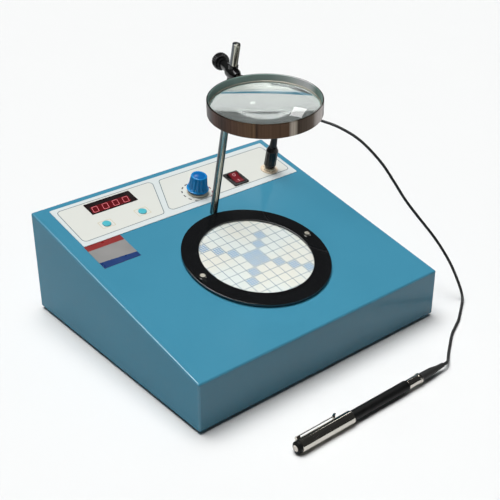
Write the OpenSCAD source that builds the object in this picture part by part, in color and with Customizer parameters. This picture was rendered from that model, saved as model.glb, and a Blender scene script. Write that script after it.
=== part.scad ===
// Digital colony counter: a sloping cabinet with a lit counting stage,
// a magnifier on a rod and a counting pen on a lead.
// Millimetres. The origin is on the bench under the middle of the cabinet,
// +X to the right, +Y to the back, +Z up.

/* [Cabinet] */
// Width of the cabinet
cab_w = 310; // [300:1:380]
// Depth of the cabinet
cab_d = 280; // [276:1:340]
// Height of the front wall
front_h = 50.5; // [44:0.5:64]
// Height of the back wall
back_h = 109.5; // [95:0.5:132]
// Thickness of the folded sheet
sheet = 1.2; // [0.8:0.1:1.6]
// Outer radius of the folds
edge_r = 2.5; // [2:0.1:5]
// Width of the flanges folded in at the bottom
flange_w = 12; // [9:0.5:16]
// Thickness of the base plate
base_t = 1.2; // [0.8:0.1:2]
// Height of the rubber feet
foot_h = 4; // [3:0.5:10]
// Diameter of the rubber feet
foot_d = 18; // [14:0.5:24]
// Distance of the feet from the cabinet's sides
foot_inset = 30; // [26:1:40]

/* [Counting stage] */
// Stage centre, to the right of the middle
stage_x = 3.5; // [-5:0.5:5]
// Stage centre, up the slope from the front edge
stage_s = 112.5; // [105:0.5:112.5]
// Outer diameter of the black ring
ring_od = 154; // [146:1:156]
// Inner diameter of the black ring
ring_id = 118; // [100:1:120]
// Thickness of the black ring
ring_t = 3.5; // [3.5:0.1:6]
// Thickness of the grid plate
grid_t = 1.5; // [1:0.1:2]
// How far the grid plate reaches under the ring
grid_lap = 5; // [3:0.5:6]
// Depth of the lamp bowl
bowl_depth = 28; // [20:1:32]

/* [Control panel] */
// Width of the panel label
panel_w = 284.5; // [284.5:0.5:295]
// Depth of the panel label
panel_d = 67.5; // [64:0.5:70]
// Thickness of the panel label
panel_t = 0.5; // [0.3:0.1:0.8]
// Gap between the label and the back edge
panel_gap = 7.6; // [5:0.1:12]
// Width of the read-out window
window_w = 56.7; // [52:0.1:62]
// Height of the read-out window
window_d = 19.3; // [17:0.1:20]
// Diameter of the push buttons
button_d = 9.2; // [7:0.1:11]
// Travel of the push buttons
button_travel = 0.6; // [0.3:0.1:0.7]
// Diameter of the knob's skirt
knob_d = 24.5; // [20:0.5:28]
// Height of the knob
knob_h = 17.5; // [16.5:0.5:24]
// Width of the switch bezel
bezel_w = 20; // [19:0.5:23]
// Length of the switch bezel
bezel_d = 23.5; // [23:0.5:27]

/* [Magnifier] */
// Diameter of the rod
rod_d = 8; // [6.6:0.1:9]
// Length of the rod above the cabinet
rod_h = 198; // [190:1:230]
// Height of the lens arm on the rod
arm_h = 167; // [150:1:173]
// Distance from the rod to the lens centre
lens_reach = 76.5; // [74:0.5:84]
// Turn of the arm towards the left
arm_turn = 16.5; // [0:0.5:30]
// Rise of the arm above square to the rod
arm_rise = 6.5; // [0:0.5:8]
// Roll of the lens about the arm
lens_roll = 6; // [0:0.5:8]
// Outer diameter of the lens rim
lens_od = 106; // [88:0.5:108]
// Height of the lens rim
rim_h = 14; // [13:0.5:18]
// Wall of the lens rim
rim_wall = 1.6; // [1.2:0.1:2.2]
// Thickness of the glass at its middle
glass_mid = 12; // [8:0.5:12.5]
// Thickness of the glass at its edge
glass_edge = 3; // [2:0.1:4]

/* [Counting pen] */
// Distance from the cabinet's front to the pen
pen_gap = 73; // [60:1:90]
// Nose of the cap
pen_x = -107.5; // [-110:0.5:-105]
// Outer diameter of the cap
cap_d = 13; // [10.8:0.1:15]
// Length of the cap
cap_len = 67.5; // [60:0.5:70]
// Diameter of the grip
grip_d = 10.6; // [10:0.1:11]
// Length of the grip
grip_len = 74; // [70:0.5:76]
// Diameter of the tail collar
collar_d = 9.6; // [9:0.1:10]
// Length of the tail collar
collar_len = 18; // [15:0.5:20]
// Length of the strain relief
boot_len = 34; // [30:0.5:36]
// Diameter of the lead
cord_d = 3; // [2.6:0.1:3.2]

/* [Hidden] */
$fn = 64;

// Clearances
run = 0.05;      // radial, between a shaft and its bore
slip = 0.1;      // radial, between a screw and its hole
free = 0.3;      // between pieces that move past each other
eps = 0.01;

// Slope of the cabinet's top
slope = atan((back_h - front_h) / cab_d);
slope_len = norm([cab_d, back_h - front_h]);
cab_floor = foot_h + base_t;

// Places on the slope: to the right of the middle, and up from the front edge
panel_x = 4.25;
panel_s = slope_len - panel_gap - panel_d / 2;
window_x = -74.2;
window_s = panel_s + 16.6;
button_s = panel_s - 12.5;
left_button_x = window_x - 23.7;
right_button_x = window_x + 20.4;
knob_x = 19.2;
knob_s = panel_s - 11.3;
switch_x = 73;
switch_s = panel_s - 11.75;
jack_x = 120;
jack_s = panel_s - 14.75;
rod_x = stage_x + 8;
rod_s = stage_s + ring_od / 2 + rod_d / 2 + 0.75;

// How far the welded edges and the upright corners of the cabinet are ground down
weld_ease = 0.8;
corner_ease = 0.9;

// Fasteners
m3_d = 3;
m3_head_d = 5.6;
m3_head_h = 1.8;
m3_nut_d = 6.4;
m3_nut_h = 2.4;
corner_x = cab_w / 2 - foot_inset;
corner_y = cab_d / 2 - foot_inset;

// Point in the room for a place on the slope
function slope_point(x, s, h) = [
    x,
    -cab_d / 2 + s * cos(slope) - h * sin(slope),
    foot_h + front_h + s * sin(slope) + h * cos(slope)
];

module on_slope(x = 0, s = 0, h = 0) {
    translate([0, -cab_d / 2, foot_h + front_h])
        rotate([slope, 0, 0])
            translate([x, s, h]) children();
}

module at_corners(x, y) {
    for (i = [-1, 1], j = [-1, 1]) translate([i * x, j * y, 0]) children();
}

// Tube or disc with a hole
module washer(od, id, t) {
    difference() {
        cylinder(d = od, h = t);
        translate([0, 0, -1]) cylinder(d = id, h = t + 2);
    }
}

module hex_nut(across, id, t) {
    difference() {
        cylinder(d = across / cos(30), h = t, $fn = 6);
        translate([0, 0, -1]) cylinder(d = id, h = t + 2);
    }
}

// Pan-head screw, its head above zero and its shank below
module pan_screw(d, head_d, head_h, len) {
    cylinder(d1 = head_d, d2 = head_d * 0.8, h = head_h);
    translate([0, 0, -len]) cylinder(d = d, h = len + eps);
}

// Flat rectangle with round corners
module round_rect(w, d, r) {
    square([w - 2 * r, d], center = true);
    square([w, d - 2 * r], center = true);
    for (i = [-1, 1], j = [-1, 1])
        translate([i * (w / 2 - r), j * (d / 2 - r)]) circle(r);
}

// The sliver outside a rounded corner p whose sides run along u and v
module corner_sliver(p, u, v, r) {
    half = acos(u * v) / 2;
    mid = p + (u + v) / norm(u + v) * r / sin(half);
    difference() {
        polygon([p, p + u * r / tan(half), mid, p + v * r / tan(half)]);
        translate(mid) circle(r);
    }
}

// Side view of the cabinet, moved in by a wall, with its two top folds rounded
module side_view(wall, bottom, r) {
    up = [cos(slope), sin(slope)];
    drop = wall / cos(slope);
    front = -cab_d / 2 + wall;
    back = cab_d / 2 - wall;
    low = foot_h + front_h + wall * tan(slope) - drop;
    high = foot_h + back_h - wall * tan(slope) - drop;
    difference() {
        polygon([[front, bottom], [front, low], [back, high], [back, bottom]]);
        corner_sliver([front, low], [0, -1], up, r);
        corner_sliver([back, high], -up, [0, -1], r);
    }
}

// Rectangle with its corners cut off at 45 degrees
module cut_rect(w, d, c) {
    polygon([
        [-w / 2 + c, -d / 2], [w / 2 - c, -d / 2], [w / 2, -d / 2 + c], [w / 2, d / 2 - c],
        [w / 2 - c, d / 2], [-w / 2 + c, d / 2], [-w / 2, d / 2 - c], [-w / 2, -d / 2 + c]
    ]);
}

// Body of the cabinet, moved in by a wall: rounded at the folds across it, eased at its welded edges
module cabinet_body(wall, bottom) {
    w = cab_w - 2 * wall;
    tall = back_h + foot_h;
    intersection() {
        rotate([90, 0, 90]) linear_extrude(w, center = true) side_view(wall, bottom, edge_r - wall);
        on_slope(0, slope_len / 2, -tall - wall)
            rotate([90, 0, 0]) linear_extrude(slope_len * 2, center = true) cut_rect(w, 2 * tall, weld_ease);
        linear_extrude(2 * tall) cut_rect(w, cab_d - 2 * wall, corner_ease);
    }
}

// Cabinet

module cabinet_shell() color("#4a92b2") {
    difference() {
        union() {
            difference() {
                cabinet_body(0, foot_h);
                cabinet_body(sheet, foot_h - 1);
            }
            bottom_flange();
        }
        stage_holes();
        panel_holes(0);
        on_slope(rod_x, rod_s, -5) cylinder(d = rod_end_d + 2 * slip, h = 10);
        translate([grommet_x, cab_d / 2 + 1, grommet_z])
            rotate([90, 0, 0]) cylinder(d = grommet_neck_d, h = sheet + 2);
        at_flange_screws() translate([0, 0, foot_h]) cylinder(d = m3_d + 2 * slip, h = 10);
    }
}

flange_screw_x = cab_w / 2 - sheet - flange_w / 2;
flange_screw_y = cab_d / 2 - sheet - flange_w / 2;

module at_flange_screws() {
    at_corners(flange_screw_x, flange_screw_y) children();
    for (i = [-1, 1]) translate([0, i * flange_screw_y, 0]) children();
}

module bottom_flange() {
    translate([0, 0, cab_floor])
        linear_extrude(sheet)
            difference() {
                cut_rect(cab_w - sheet, cab_d - sheet, weld_ease);
                square([cab_w - 2 * (sheet + flange_w), cab_d - 2 * (sheet + flange_w)], center = true);
            }
}

module base_plate() color("#4c6f80")
    difference() {
        translate([0, 0, foot_h])
            linear_extrude(base_t)
                cut_rect(cab_w - 2 * (sheet + free), cab_d - 2 * (sheet + free), weld_ease);
        at_flange_screws() translate([0, 0, foot_h - 1]) cylinder(d = m3_d + 2 * slip, h = base_t + 2);
        at_corners(corner_x, corner_y)
            translate([0, 0, foot_h - 1]) cylinder(d = m3_d + 2 * slip, h = base_t + 2);
        at_power_pillars() translate([0, 0, foot_h - 1]) cylinder(d = m3_d + 2 * slip, h = base_t + 2);
    }

module base_screws() color("silver")
    at_flange_screws()
        translate([0, 0, foot_h]) mirror([0, 0, 1])
            pan_screw(m3_d, m3_head_d, m3_head_h, base_t + sheet + 3);

foot_recess_d = m3_head_d + 2;
foot_web = 1.5;

module rubber_feet() color("#222222")
    at_corners(corner_x, corner_y)
        difference() {
            cylinder(d1 = foot_d - 2, d2 = foot_d, h = foot_h);
            translate([0, 0, -1]) cylinder(d = foot_recess_d, h = 1 + foot_h - foot_web);
            cylinder(d = m3_d + 2 * slip, h = foot_h + 1);
        }

module foot_screws() color("silver")
    at_corners(corner_x, corner_y)
        translate([0, 0, foot_h - foot_web]) mirror([0, 0, 1])
            pan_screw(m3_d, m3_head_d, min(m3_head_h, foot_h - foot_web - 0.5), foot_web + base_t + 4);

module foot_nuts() color("silver")
    at_corners(corner_x, corner_y)
        translate([0, 0, cab_floor]) hex_nut(m3_nut_d, m3_d + 2 * slip, m3_nut_h);

grommet_x = -95;
grommet_z = foot_h + 32;
grommet_neck_d = 12;
grommet_bore_d = 7;
grommet_flange_d = 17;
grommet_flange_t = 2.5;

module mains_grommet() color("#1c1c1c")
    translate([grommet_x, cab_d / 2, grommet_z])
        rotate([-90, 0, 0])
            rotate_extrude()
                polygon([
                    [grommet_bore_d / 2, -sheet - grommet_flange_t],
                    [grommet_flange_d / 2 - 1, -sheet - grommet_flange_t],
                    [grommet_flange_d / 2, -sheet - free],
                    [grommet_flange_d / 2, -sheet],
                    [grommet_neck_d / 2 - slip, -sheet],
                    [grommet_neck_d / 2 - slip, 0],
                    [grommet_flange_d / 2, 0],
                    [grommet_flange_d / 2 - 1, grommet_flange_t],
                    [grommet_bore_d / 2, grommet_flange_t]
                ]);

// Control panel

window_fit = 0.2;
button_hole_d = button_d + 2 * free;
pot_bush_d = 7;
jack_barrel_d = 9;
switch_body_w = bezel_w - 3;
switch_body_d = bezel_d - 4;

// Holes for the controls; grow widens each one
module panel_holes(grow) {
    on_slope(window_x, window_s) cube([window_w, window_d, 20] + [1, 1, 0] * 2 * grow, center = true);
    for (x = [left_button_x, right_button_x])
        on_slope(x, button_s, -10) cylinder(d = button_hole_d + 2 * grow, h = 20);
    on_slope(knob_x, knob_s, -10) cylinder(d = pot_bush_d + 2 * slip + 2 * grow, h = 20);
    on_slope(switch_x, switch_s)
        cube([switch_body_w, switch_body_d, 20] + [1, 1, 0] * 2 * (slip + grow), center = true);
    on_slope(jack_x, jack_s, -10) cylinder(d = jack_barrel_d + 2 * slip + 2 * grow, h = 20);
}

module panel_overlay() color("#e8e6e0")
    difference() {
        on_slope(panel_x, panel_s) linear_extrude(panel_t) round_rect(panel_w, panel_d, 1.5);
        panel_holes(0);
    }

window_proud = 0.4;
window_t = 3;

module display_window() color("#5a1015")
    on_slope(window_x, window_s, panel_t + window_proud - window_t)
        linear_extrude(window_t) round_rect(window_w - 2 * window_fit, window_d - 2 * window_fit, 0.8);

board_drop = 13;
board_t = 1.6;
board_x = window_x;
board_w = 84;
board_d = 56;
board_pillar_x = board_w / 2 - 4;
board_pillar_s = board_d / 2 - 4;
display_top = panel_t + window_proud - window_t;

module on_board(h) {
    on_slope(board_x, panel_s, h) children();
}

module display_module() color("#1a1a1a")
    on_slope(window_x, window_s, -board_drop)
        linear_extrude(board_drop + display_top) square([50.3, 17], center = true);

module control_board() color("#1f6b3a")
    difference() {
        on_board(-board_drop - board_t) linear_extrude(board_t) square([board_w, board_d], center = true);
        on_board(-board_drop - board_t - 1)
            at_corners(board_pillar_x, board_pillar_s) cylinder(d = m3_d + 2 * slip, h = board_t + 2);
    }

// Pillars that hang from the top sheet, with a stud through the board and a nut under it
module board_standoffs() color("#c9c9c9")
    on_board(0)
        at_corners(board_pillar_x, board_pillar_s) {
            translate([0, 0, -board_drop]) cylinder(d = 6, h = board_drop - sheet);
            translate([0, 0, -board_drop - board_t - 3]) cylinder(d = m3_d, h = board_t + 3 + eps);
            translate([0, 0, -board_drop - board_t - m3_nut_h])
                cylinder(d = m3_nut_d / cos(30), h = m3_nut_h, $fn = 6);
        }

button_top = panel_t + 1;
button_lip = 1;
button_stem_d = 4;
button_stem_end = -5.5;
switch_plunger_top = button_stem_end - button_travel - free;

module button_switches() color("#2b2b2b")
    for (x = [left_button_x, right_button_x])
        on_slope(x, button_s, -board_drop) {
            linear_extrude(3.5) square(6, center = true);
            cylinder(d = 3.4, h = board_drop + switch_plunger_top);
        }

// Round cap with a soft edge, kept in by a lip under the sheet
module push_button(x) {
    r = button_d / 2;
    lip_top = -sheet - free;
    on_slope(x, button_s)
        rotate_extrude()
            polygon(concat(
                [[0, button_stem_end], [button_stem_d / 2, button_stem_end]],
                [[button_stem_d / 2, lip_top - button_lip], [r + 1, lip_top - button_lip]],
                [[r + 1, lip_top], [r, lip_top]],
                [for (a = [0:15:90]) [r - 0.7 + 0.7 * cos(a), button_top - 0.7 + 0.7 * sin(a)]],
                [[0, button_top]]
            ));
}

module left_button() color("#4fc0cf") push_button(left_button_x);

module right_button() color("#4fc0cf") push_button(right_button_x);

pot_bush_top = panel_t + 5.5;
pot_shaft_d = 6;
pot_shaft_top = panel_t + 16;
pot_body_d = 16.5;
pot_body_h = 9;
pot_washer_d = 23;
pot_washer_t = 2.4;
pot_nut_h = 2;

module brightness_pot() color("#9a9a92")
    on_slope(knob_x, knob_s)
        difference() {
            union() {
                translate([0, 0, -sheet - pot_body_h]) cylinder(d = pot_body_d, h = pot_body_h);
                translate([0, 0, -sheet - eps]) cylinder(d = pot_bush_d, h = sheet + pot_bush_top);
                translate([-7, -pot_body_d / 2 - 6, -sheet - pot_body_h]) cube([14, 8, 1.2]);
            }
            translate([0, 0, -sheet - pot_body_h + 2]) cylinder(d = pot_shaft_d + 2 * run, h = 40);
        }

module pot_washer() color("#d8cfae")
    on_slope(knob_x, knob_s, panel_t) washer(pot_washer_d, pot_bush_d + 2 * slip, pot_washer_t);

module pot_nut() color("#c9c2a8")
    on_slope(knob_x, knob_s, panel_t + pot_washer_t) hex_nut(10, pot_bush_d + 2 * slip, pot_nut_h);

module pot_shaft() color("silver")
    on_slope(knob_x, knob_s, -sheet - pot_body_h + 2 + free)
        cylinder(d = pot_shaft_d, h = sheet + pot_body_h - 2 - free + pot_shaft_top);

knob_lift = panel_t + pot_washer_t + pot_nut_h;
knob_flutes = 14;
knob_flute_d = 2.6;
knob_waist_r = knob_d / 2 - 1.7;
knob_top_r = knob_d / 2 - 3.2;
knob_skirt_h = 4.5;

// Tapered body with a flared skirt, a rounded top and flutes between the two
module dimmer_knob() color("#1f6fc0")
    on_slope(knob_x, knob_s, knob_lift)
        difference() {
            rotate_extrude()
                polygon(concat(
                    [[0, 0], [knob_d / 2, 0], [knob_d / 2, 1]],
                    [for (a = [15:15:90])
                        [knob_d / 2 - (knob_d / 2 - knob_waist_r) * sin(a),
                         knob_skirt_h - (knob_skirt_h - 1) * cos(a)]],
                    [for (a = [0:15:90])
                        [knob_top_r - 1.8 + 1.8 * cos(a), knob_h - 1.8 + 1.8 * sin(a)]],
                    [[0, knob_h]]
                ));
            for (i = [0:knob_flutes - 1])
                rotate(i * 360 / knob_flutes)
                    translate([knob_waist_r + 0.75, 0, knob_skirt_h - 1])
                        rotate([0, -atan((knob_waist_r - knob_top_r) / (knob_h - knob_skirt_h)), 0])
                            cylinder(d = knob_flute_d, h = knob_h - knob_skirt_h - 2.2, $fn = 24);
            translate([0, 0, -1]) cylinder(d = pot_shaft_d + 2 * run, h = pot_shaft_top - knob_lift + 1);
            translate([0, 0, -1]) cylinder(d = 13, h = 1 + pot_bush_top - knob_lift + 1);
        }

bezel_t = 1.6;
switch_body_h = 16;
rocker_w = bezel_w - 6.6;
rocker_d = bezel_d - 5;
rocker_gap = 0.4;
rocker_pivot_d = 3;
rocker_pivot_h = -1.5;
rocker_tilt = 9;
switch_well = 8;

// Black housing: bezel on the panel, body through it, and a well for the rocker
module switch_housing() color("#161616")
    on_slope(switch_x, switch_s)
        difference() {
            union() {
                translate([0, 0, panel_t]) linear_extrude(bezel_t) round_rect(bezel_w, bezel_d, 0.8);
                translate([0, 0, panel_t - switch_body_h])
                    linear_extrude(switch_body_h + eps)
                        square([switch_body_w, switch_body_d], center = true);
            }
            translate([0, 0, panel_t - switch_well])
                linear_extrude(switch_well + bezel_t + 1)
                    square([rocker_w + 2 * rocker_gap, rocker_d + 2 * rocker_gap], center = true);
            translate([0, 0, rocker_pivot_h])
                rotate([0, 90, 0])
                    cylinder(d = rocker_pivot_d + 2 * run, h = rocker_w + 2.4, center = true);
        }

// Two-faced paddle on a cross pin, tipped so that its front end is in
module switch_rocker() color("#a01822")
    on_slope(switch_x, switch_s, rocker_pivot_h)
        rotate([rocker_tilt, 0, 0]) {
            rotate([90, 0, 90])
                linear_extrude(rocker_w, center = true)
                    intersection() {
                        circle(d = rocker_d, $fn = 96);
                        polygon([
                            [-rocker_d / 2, 5.2], [0, 3.6], [rocker_d / 2, 5.2],
                            [rocker_d / 2, 0], [4, -4], [-4, -4], [-rocker_d / 2, 0]
                        ]);
                    }
            rotate([0, 90, 0]) cylinder(d = rocker_pivot_d, h = rocker_w + 2, center = true);
        }

jack_bore_d = 6.45;
jack_washer_d = 20;
jack_washer_t = 0.8;
jack_nut_d = 14;
jack_nut_h = 2.4;
jack_barrel_top = panel_t + jack_washer_t + jack_nut_h + 0.4;
jack_depth = 30;

module jack_socket() color("#b9b2a0")
    on_slope(jack_x, jack_s)
        difference() {
            union() {
                translate([0, 0, -sheet]) cylinder(d = jack_barrel_d, h = sheet + jack_barrel_top);
                translate([0, 0, -jack_depth - 2]) cylinder(d = jack_nut_d, h = jack_depth + 2 - sheet);
            }
            translate([0, 0, -jack_depth]) cylinder(d = jack_bore_d, h = jack_depth + 20);
        }

module jack_washer() color("#cdbb8c")
    on_slope(jack_x, jack_s, panel_t) washer(jack_washer_d, jack_barrel_d + 2 * slip, jack_washer_t);

module jack_nut() color("#bfa768")
    on_slope(jack_x, jack_s, panel_t + jack_washer_t)
        difference() {
            hex_nut(jack_nut_d - 1.5, jack_barrel_d + 2 * slip, jack_nut_h);
            translate([0, 0, jack_nut_h]) rotate([180, 0, 0]) nut_bevel();
        }

// Cuts the corners of the nut's upper face to a cone
module nut_bevel() {
    difference() {
        translate([0, 0, -1]) cylinder(d = jack_nut_d + 4, h = 2);
        translate([0, 0, -1]) cylinder(d1 = jack_nut_d - 3.4, d2 = jack_nut_d + 0.6, h = 2);
    }
}

// Counting stage

grid_d = ring_id + 2 * grid_lap;
stage_hole_d = ring_id + 2;
ring_screw_r = (ring_od + ring_id) / 4 + 1;
bowl_flange_d = stage_hole_d + 24;
bowl_stud_r = bowl_flange_d / 2 - 5;
diffuser_t = 3;
bowl_t = 1;
bowl_neck_r = stage_hole_d / 2 + 1;
bowl_seat_r = stage_hole_d / 2 - 5;
bowl_seat = sheet - diffuser_t;
bowl_floor_r = stage_hole_d / 2 - 16;

module at_ring_screws() {
    for (a = [0, 180]) rotate(a) translate([ring_screw_r, 0, 0]) children();
}

module at_bowl_studs() {
    for (a = [45:90:315]) rotate(a) translate([bowl_stud_r, 0, 0]) children();
}

module stage_holes() {
    on_slope(stage_x, stage_s, -5) {
        cylinder(d = stage_hole_d, h = 10, $fn = 128);
        at_ring_screws() cylinder(d = m3_d + 2 * slip, h = 10);
        at_bowl_studs() cylinder(d = m3_d + 2 * slip, h = 10);
    }
}

// Flat ring with a rounded outer edge, a rebate below for the plate and two screw holes
module stage_ring() color("#141414")
    on_slope(stage_x, stage_s)
        difference() {
            rotate_extrude($fn = 128)
                polygon(concat(
                    [[grid_d / 2 + slip, 0], [ring_od / 2, 0]],
                    [for (a = [0:30:90]) [ring_od / 2 - 0.6 + 0.6 * cos(a), ring_t - 0.6 + 0.6 * sin(a)]],
                    [[ring_id / 2 + 0.4, ring_t], [ring_id / 2, ring_t - 0.4]],
                    [[ring_id / 2, grid_t + slip], [grid_d / 2 + slip, grid_t + slip]]
                ));
            translate([0, 0, -1]) at_ring_screws() cylinder(d = m3_d + 2 * slip, h = ring_t + 2);
        }

cup_d = 8;
cup_h = 1.1;

module screw_cups() color("#c8c4b8")
    on_slope(stage_x, stage_s, ring_t)
        at_ring_screws()
            rotate_extrude()
                polygon([
                    [m3_d / 2 + slip, 0], [cup_d / 2, 0], [cup_d / 2 - 0.7, cup_h],
                    [2.8, cup_h], [2.5, 0.5], [m3_d / 2 + slip, 0.4]
                ]);

module ring_screws() color("#b8b4a8")
    on_slope(stage_x, stage_s, ring_t + 0.5)
        at_ring_screws()
            difference() {
                union() {
                    cylinder(d1 = 4.6, d2 = 5.2, h = 0.9);
                    translate([0, 0, -ring_t - sheet - 4]) cylinder(d = m3_d, h = ring_t + sheet + 4 + eps);
                }
                translate([0, 0, 0.9]) cube([6, 0.8, 0.9], center = true);
            }

module grid_plate() color("#f2f0e6")
    on_slope(stage_x, stage_s) cylinder(d = grid_d, h = grid_t, $fn = 128);

// Opal disc under the grid, held in the stage hole by the lamp bowl
module opal_diffuser() color("white")
    on_slope(stage_x, stage_s, -diffuser_t)
        cylinder(d = stage_hole_d - 2 * free, h = diffuser_t, $fn = 128);

// Spun bowl with a flange under the top sheet and a seat for the diffuser
module lamp_bowl() color("#d5d5d0")
    on_slope(stage_x, stage_s, -sheet)
        difference() {
            rotate_extrude($fn = 128)
                polygon([
                    [0, -bowl_depth], [bowl_floor_r + bowl_t, -bowl_depth],
                    [bowl_seat_r + bowl_t + 2, bowl_seat - bowl_t - 1],
                    [bowl_neck_r + bowl_t, bowl_seat - bowl_t - 1],
                    [bowl_neck_r + bowl_t, -bowl_t],
                    [bowl_flange_d / 2, -bowl_t], [bowl_flange_d / 2, 0],
                    [bowl_neck_r, 0], [bowl_neck_r, bowl_seat],
                    [bowl_seat_r, bowl_seat], [bowl_floor_r, -bowl_depth + bowl_t],
                    [0, -bowl_depth + bowl_t]
                ]);
            translate([0, 0, -5]) at_bowl_studs() cylinder(d = m3_d + 2 * slip, h = 10);
            translate([0, 0, -5]) at_ring_screws() cylinder(d = m3_d + 2 * slip, h = 10);
        }

// Nuts on short studs that hold the bowl's flange up to the sheet
module bowl_nuts() color("silver")
    on_slope(stage_x, stage_s, -sheet - bowl_t)
        at_bowl_studs() {
            translate([0, 0, -m3_nut_h]) cylinder(d = m3_nut_d / cos(30), h = m3_nut_h, $fn = 6);
            translate([0, 0, -m3_nut_h]) cylinder(d = m3_d, h = m3_nut_h + bowl_t + sheet);
        }

lamp_board_d = 2 * bowl_floor_r - 4;
lamp_board_t = 1.6;
lamp_floor = -sheet - bowl_depth + bowl_t;

module lamp_board() color("#f0f0ea")
    on_slope(stage_x, stage_s, lamp_floor) cylinder(d = lamp_board_d, h = lamp_board_t);

// Lamps in two circles on the board
module lamp_leds() color("#fff2c0")
    on_slope(stage_x, stage_s, lamp_floor + lamp_board_t)
        for (ring = [[0.42, 16], [0.22, 8]], i = [0:ring[1] - 1])
            rotate(i * 360 / ring[1])
                translate([ring[0] * lamp_board_d, 0, 0]) cylinder(d = 5, h = 1.8, $fn = 24);

// Power supply on the base plate

power_x = -80;
power_y = 90;
power_w = 90;
power_d = 60;
power_lift = 8;

module at_power_pillars() {
    translate([power_x, power_y, 0]) at_corners(power_w / 2 - 4, power_d / 2 - 4) children();
}

module power_board() color("#b58a3a")
    difference() {
        translate([power_x, power_y, cab_floor + power_lift])
            linear_extrude(board_t) square([power_w, power_d], center = true);
        at_power_pillars() translate([0, 0, cab_floor]) cylinder(d = m3_d + 2 * slip, h = 20);
    }

module power_transformer() color("#3a3a3a")
    translate([power_x, power_y, cab_floor + power_lift + board_t]) {
        linear_extrude(28) square([24, 40], center = true);
        translate([0, 0, 4]) linear_extrude(20) square([34, 34], center = true);
    }

module power_pillars() color("#d8d8d0")
    at_power_pillars() {
        translate([0, 0, cab_floor]) cylinder(d = 6, h = power_lift);
        translate([0, 0, foot_h]) cylinder(d = m3_d, h = base_t + power_lift + board_t + 2);
    }

// Magnifier

rod_end_d = 6;
rod_end_len = 16;
rod_washer_t = 1;
rod_nut_h = 5;

module stand_rod() color("#cfd2d4")
    on_slope(rod_x, rod_s)
        union() {
            translate([0, 0, -rod_end_len]) cylinder(d = rod_end_d, h = rod_end_len + eps);
            rotate_extrude()
                polygon(concat(
                    [[0, 0], [rod_d / 2, 0]],
                    [for (a = [0:30:90]) [rod_d / 2 - 1 + cos(a), rod_h - 1 + sin(a)]],
                    [[0, rod_h]]
                ));
        }

module rod_washer() color("silver")
    on_slope(rod_x, rod_s, -sheet - rod_washer_t) washer(14, rod_end_d + 2 * slip, rod_washer_t);

module rod_nut() color("silver")
    on_slope(rod_x, rod_s, -sheet - rod_washer_t - rod_nut_h) hex_nut(10, rod_end_d + 2 * slip, rod_nut_h);

liner_t = 0.7;
liner_d = rod_d + 2 * run + 2 * liner_t;
liner_h = 17;
arm_bore_d = liner_d + 2 * run;
arm_d = arm_bore_d + 3.4;
arm_front = 12;
arm_neck_d = 9;
arm_neck_end = 22;
screw_d = 5;
screw_head_d = 17;
screw_head_t = 8;
screw_collar_d = 11.5;
screw_collar_t = 4;
stud_d = 6;

// The arm's own directions: z along the arm towards the lens, y to its upper side
module on_arm(along = 0) {
    on_slope(rod_x, rod_s, arm_h)
        rotate(-arm_turn)
            rotate([90 - arm_rise, 0, 0])
                translate([0, 0, along]) children();
}

// The lens's own directions: z up through the glass
module on_lens() {
    on_arm(lens_reach) rotate(lens_roll) rotate([-90, 0, 0]) children();
}

module clamp_liner() color("#e0ddd0")
    on_slope(rod_x, rod_s, arm_h - liner_h / 2) washer(liner_d, rod_d + 2 * run, liner_h);

// Turned boss across the rod, thick at the rod and necked where the screw goes in
module lens_arm() color("#191919")
    difference() {
        on_arm()
            rotate_extrude()
                polygon([
                    [0, -arm_neck_end], [arm_neck_d / 2, -arm_neck_end], [arm_neck_d / 2, -arm_d / 2 - 2],
                    [arm_d / 2 - 1, -arm_d / 2], [arm_d / 2, -arm_d / 2 + 1.5],
                    [arm_d / 2, arm_d / 2 - 1], [stud_d / 2 + 1.2, arm_front], [0, arm_front]
                ]);
        on_slope(rod_x, rod_s, arm_h - arm_d) cylinder(d = arm_bore_d, h = 2 * arm_d);
        on_arm(-arm_neck_end - 1) cylinder(d = screw_d + 2 * run, h = arm_neck_end);
        on_arm(arm_bore_d / 2) cylinder(d = stud_d + 2 * slip, h = arm_front);
    }

rim_boss_d = 11;
rim_boss_len = 5;
stud_start = arm_bore_d / 2 + 2;
stud_end = lens_reach - lens_od / 2 + 0.2;

module arm_stud() color("#c4c6c8")
    on_arm(stud_start) cylinder(d = stud_d, h = stud_end - stud_start);

screw_tip = arm_bore_d / 2 + free;
screw_head_from = arm_neck_end + free + screw_collar_t;
screw_knurls = 24;

// Black thumbscrew: knurled head, stepped collar and a plain shank
module thumbscrew() color("#1e1e1e")
    on_arm()
        difference() {
            rotate([180, 0, 0])
                rotate_extrude()
                    polygon([
                        [0, screw_tip], [screw_d / 2, screw_tip], [screw_d / 2, arm_neck_end + free],
                        [screw_collar_d / 2, arm_neck_end + free], [screw_collar_d / 2, screw_head_from],
                        [screw_head_d / 2 - 1, screw_head_from], [screw_head_d / 2, screw_head_from + 1],
                        [screw_head_d / 2, screw_head_from + screw_head_t - 1],
                        [screw_head_d / 2 - 1, screw_head_from + screw_head_t],
                        [0, screw_head_from + screw_head_t]
                    ]);
            for (i = [0:screw_knurls - 1])
                rotate(i * 360 / screw_knurls)
                    translate([screw_head_d / 2 + 0.35, 0, -screw_head_from - screw_head_t - 1])
                        cylinder(d = 1.6, h = screw_head_t + 1.6, $fn = 16);
        }

rim_in = lens_od / 2 - rim_wall;
glass_r = rim_in - 0.2;
glass_sag = (glass_mid - glass_edge) / 2;
glass_curve = (glass_r * glass_r + glass_sag * glass_sag) / (2 * glass_sag);
glass_centre = glass_curve - glass_mid / 2;
glass_drop = 2;
seat_r = rim_in - 2;
seat_t = 1;
seat_top = glass_centre - sqrt(glass_curve * glass_curve - seat_r * seat_r) - 0.02 - glass_drop;

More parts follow.
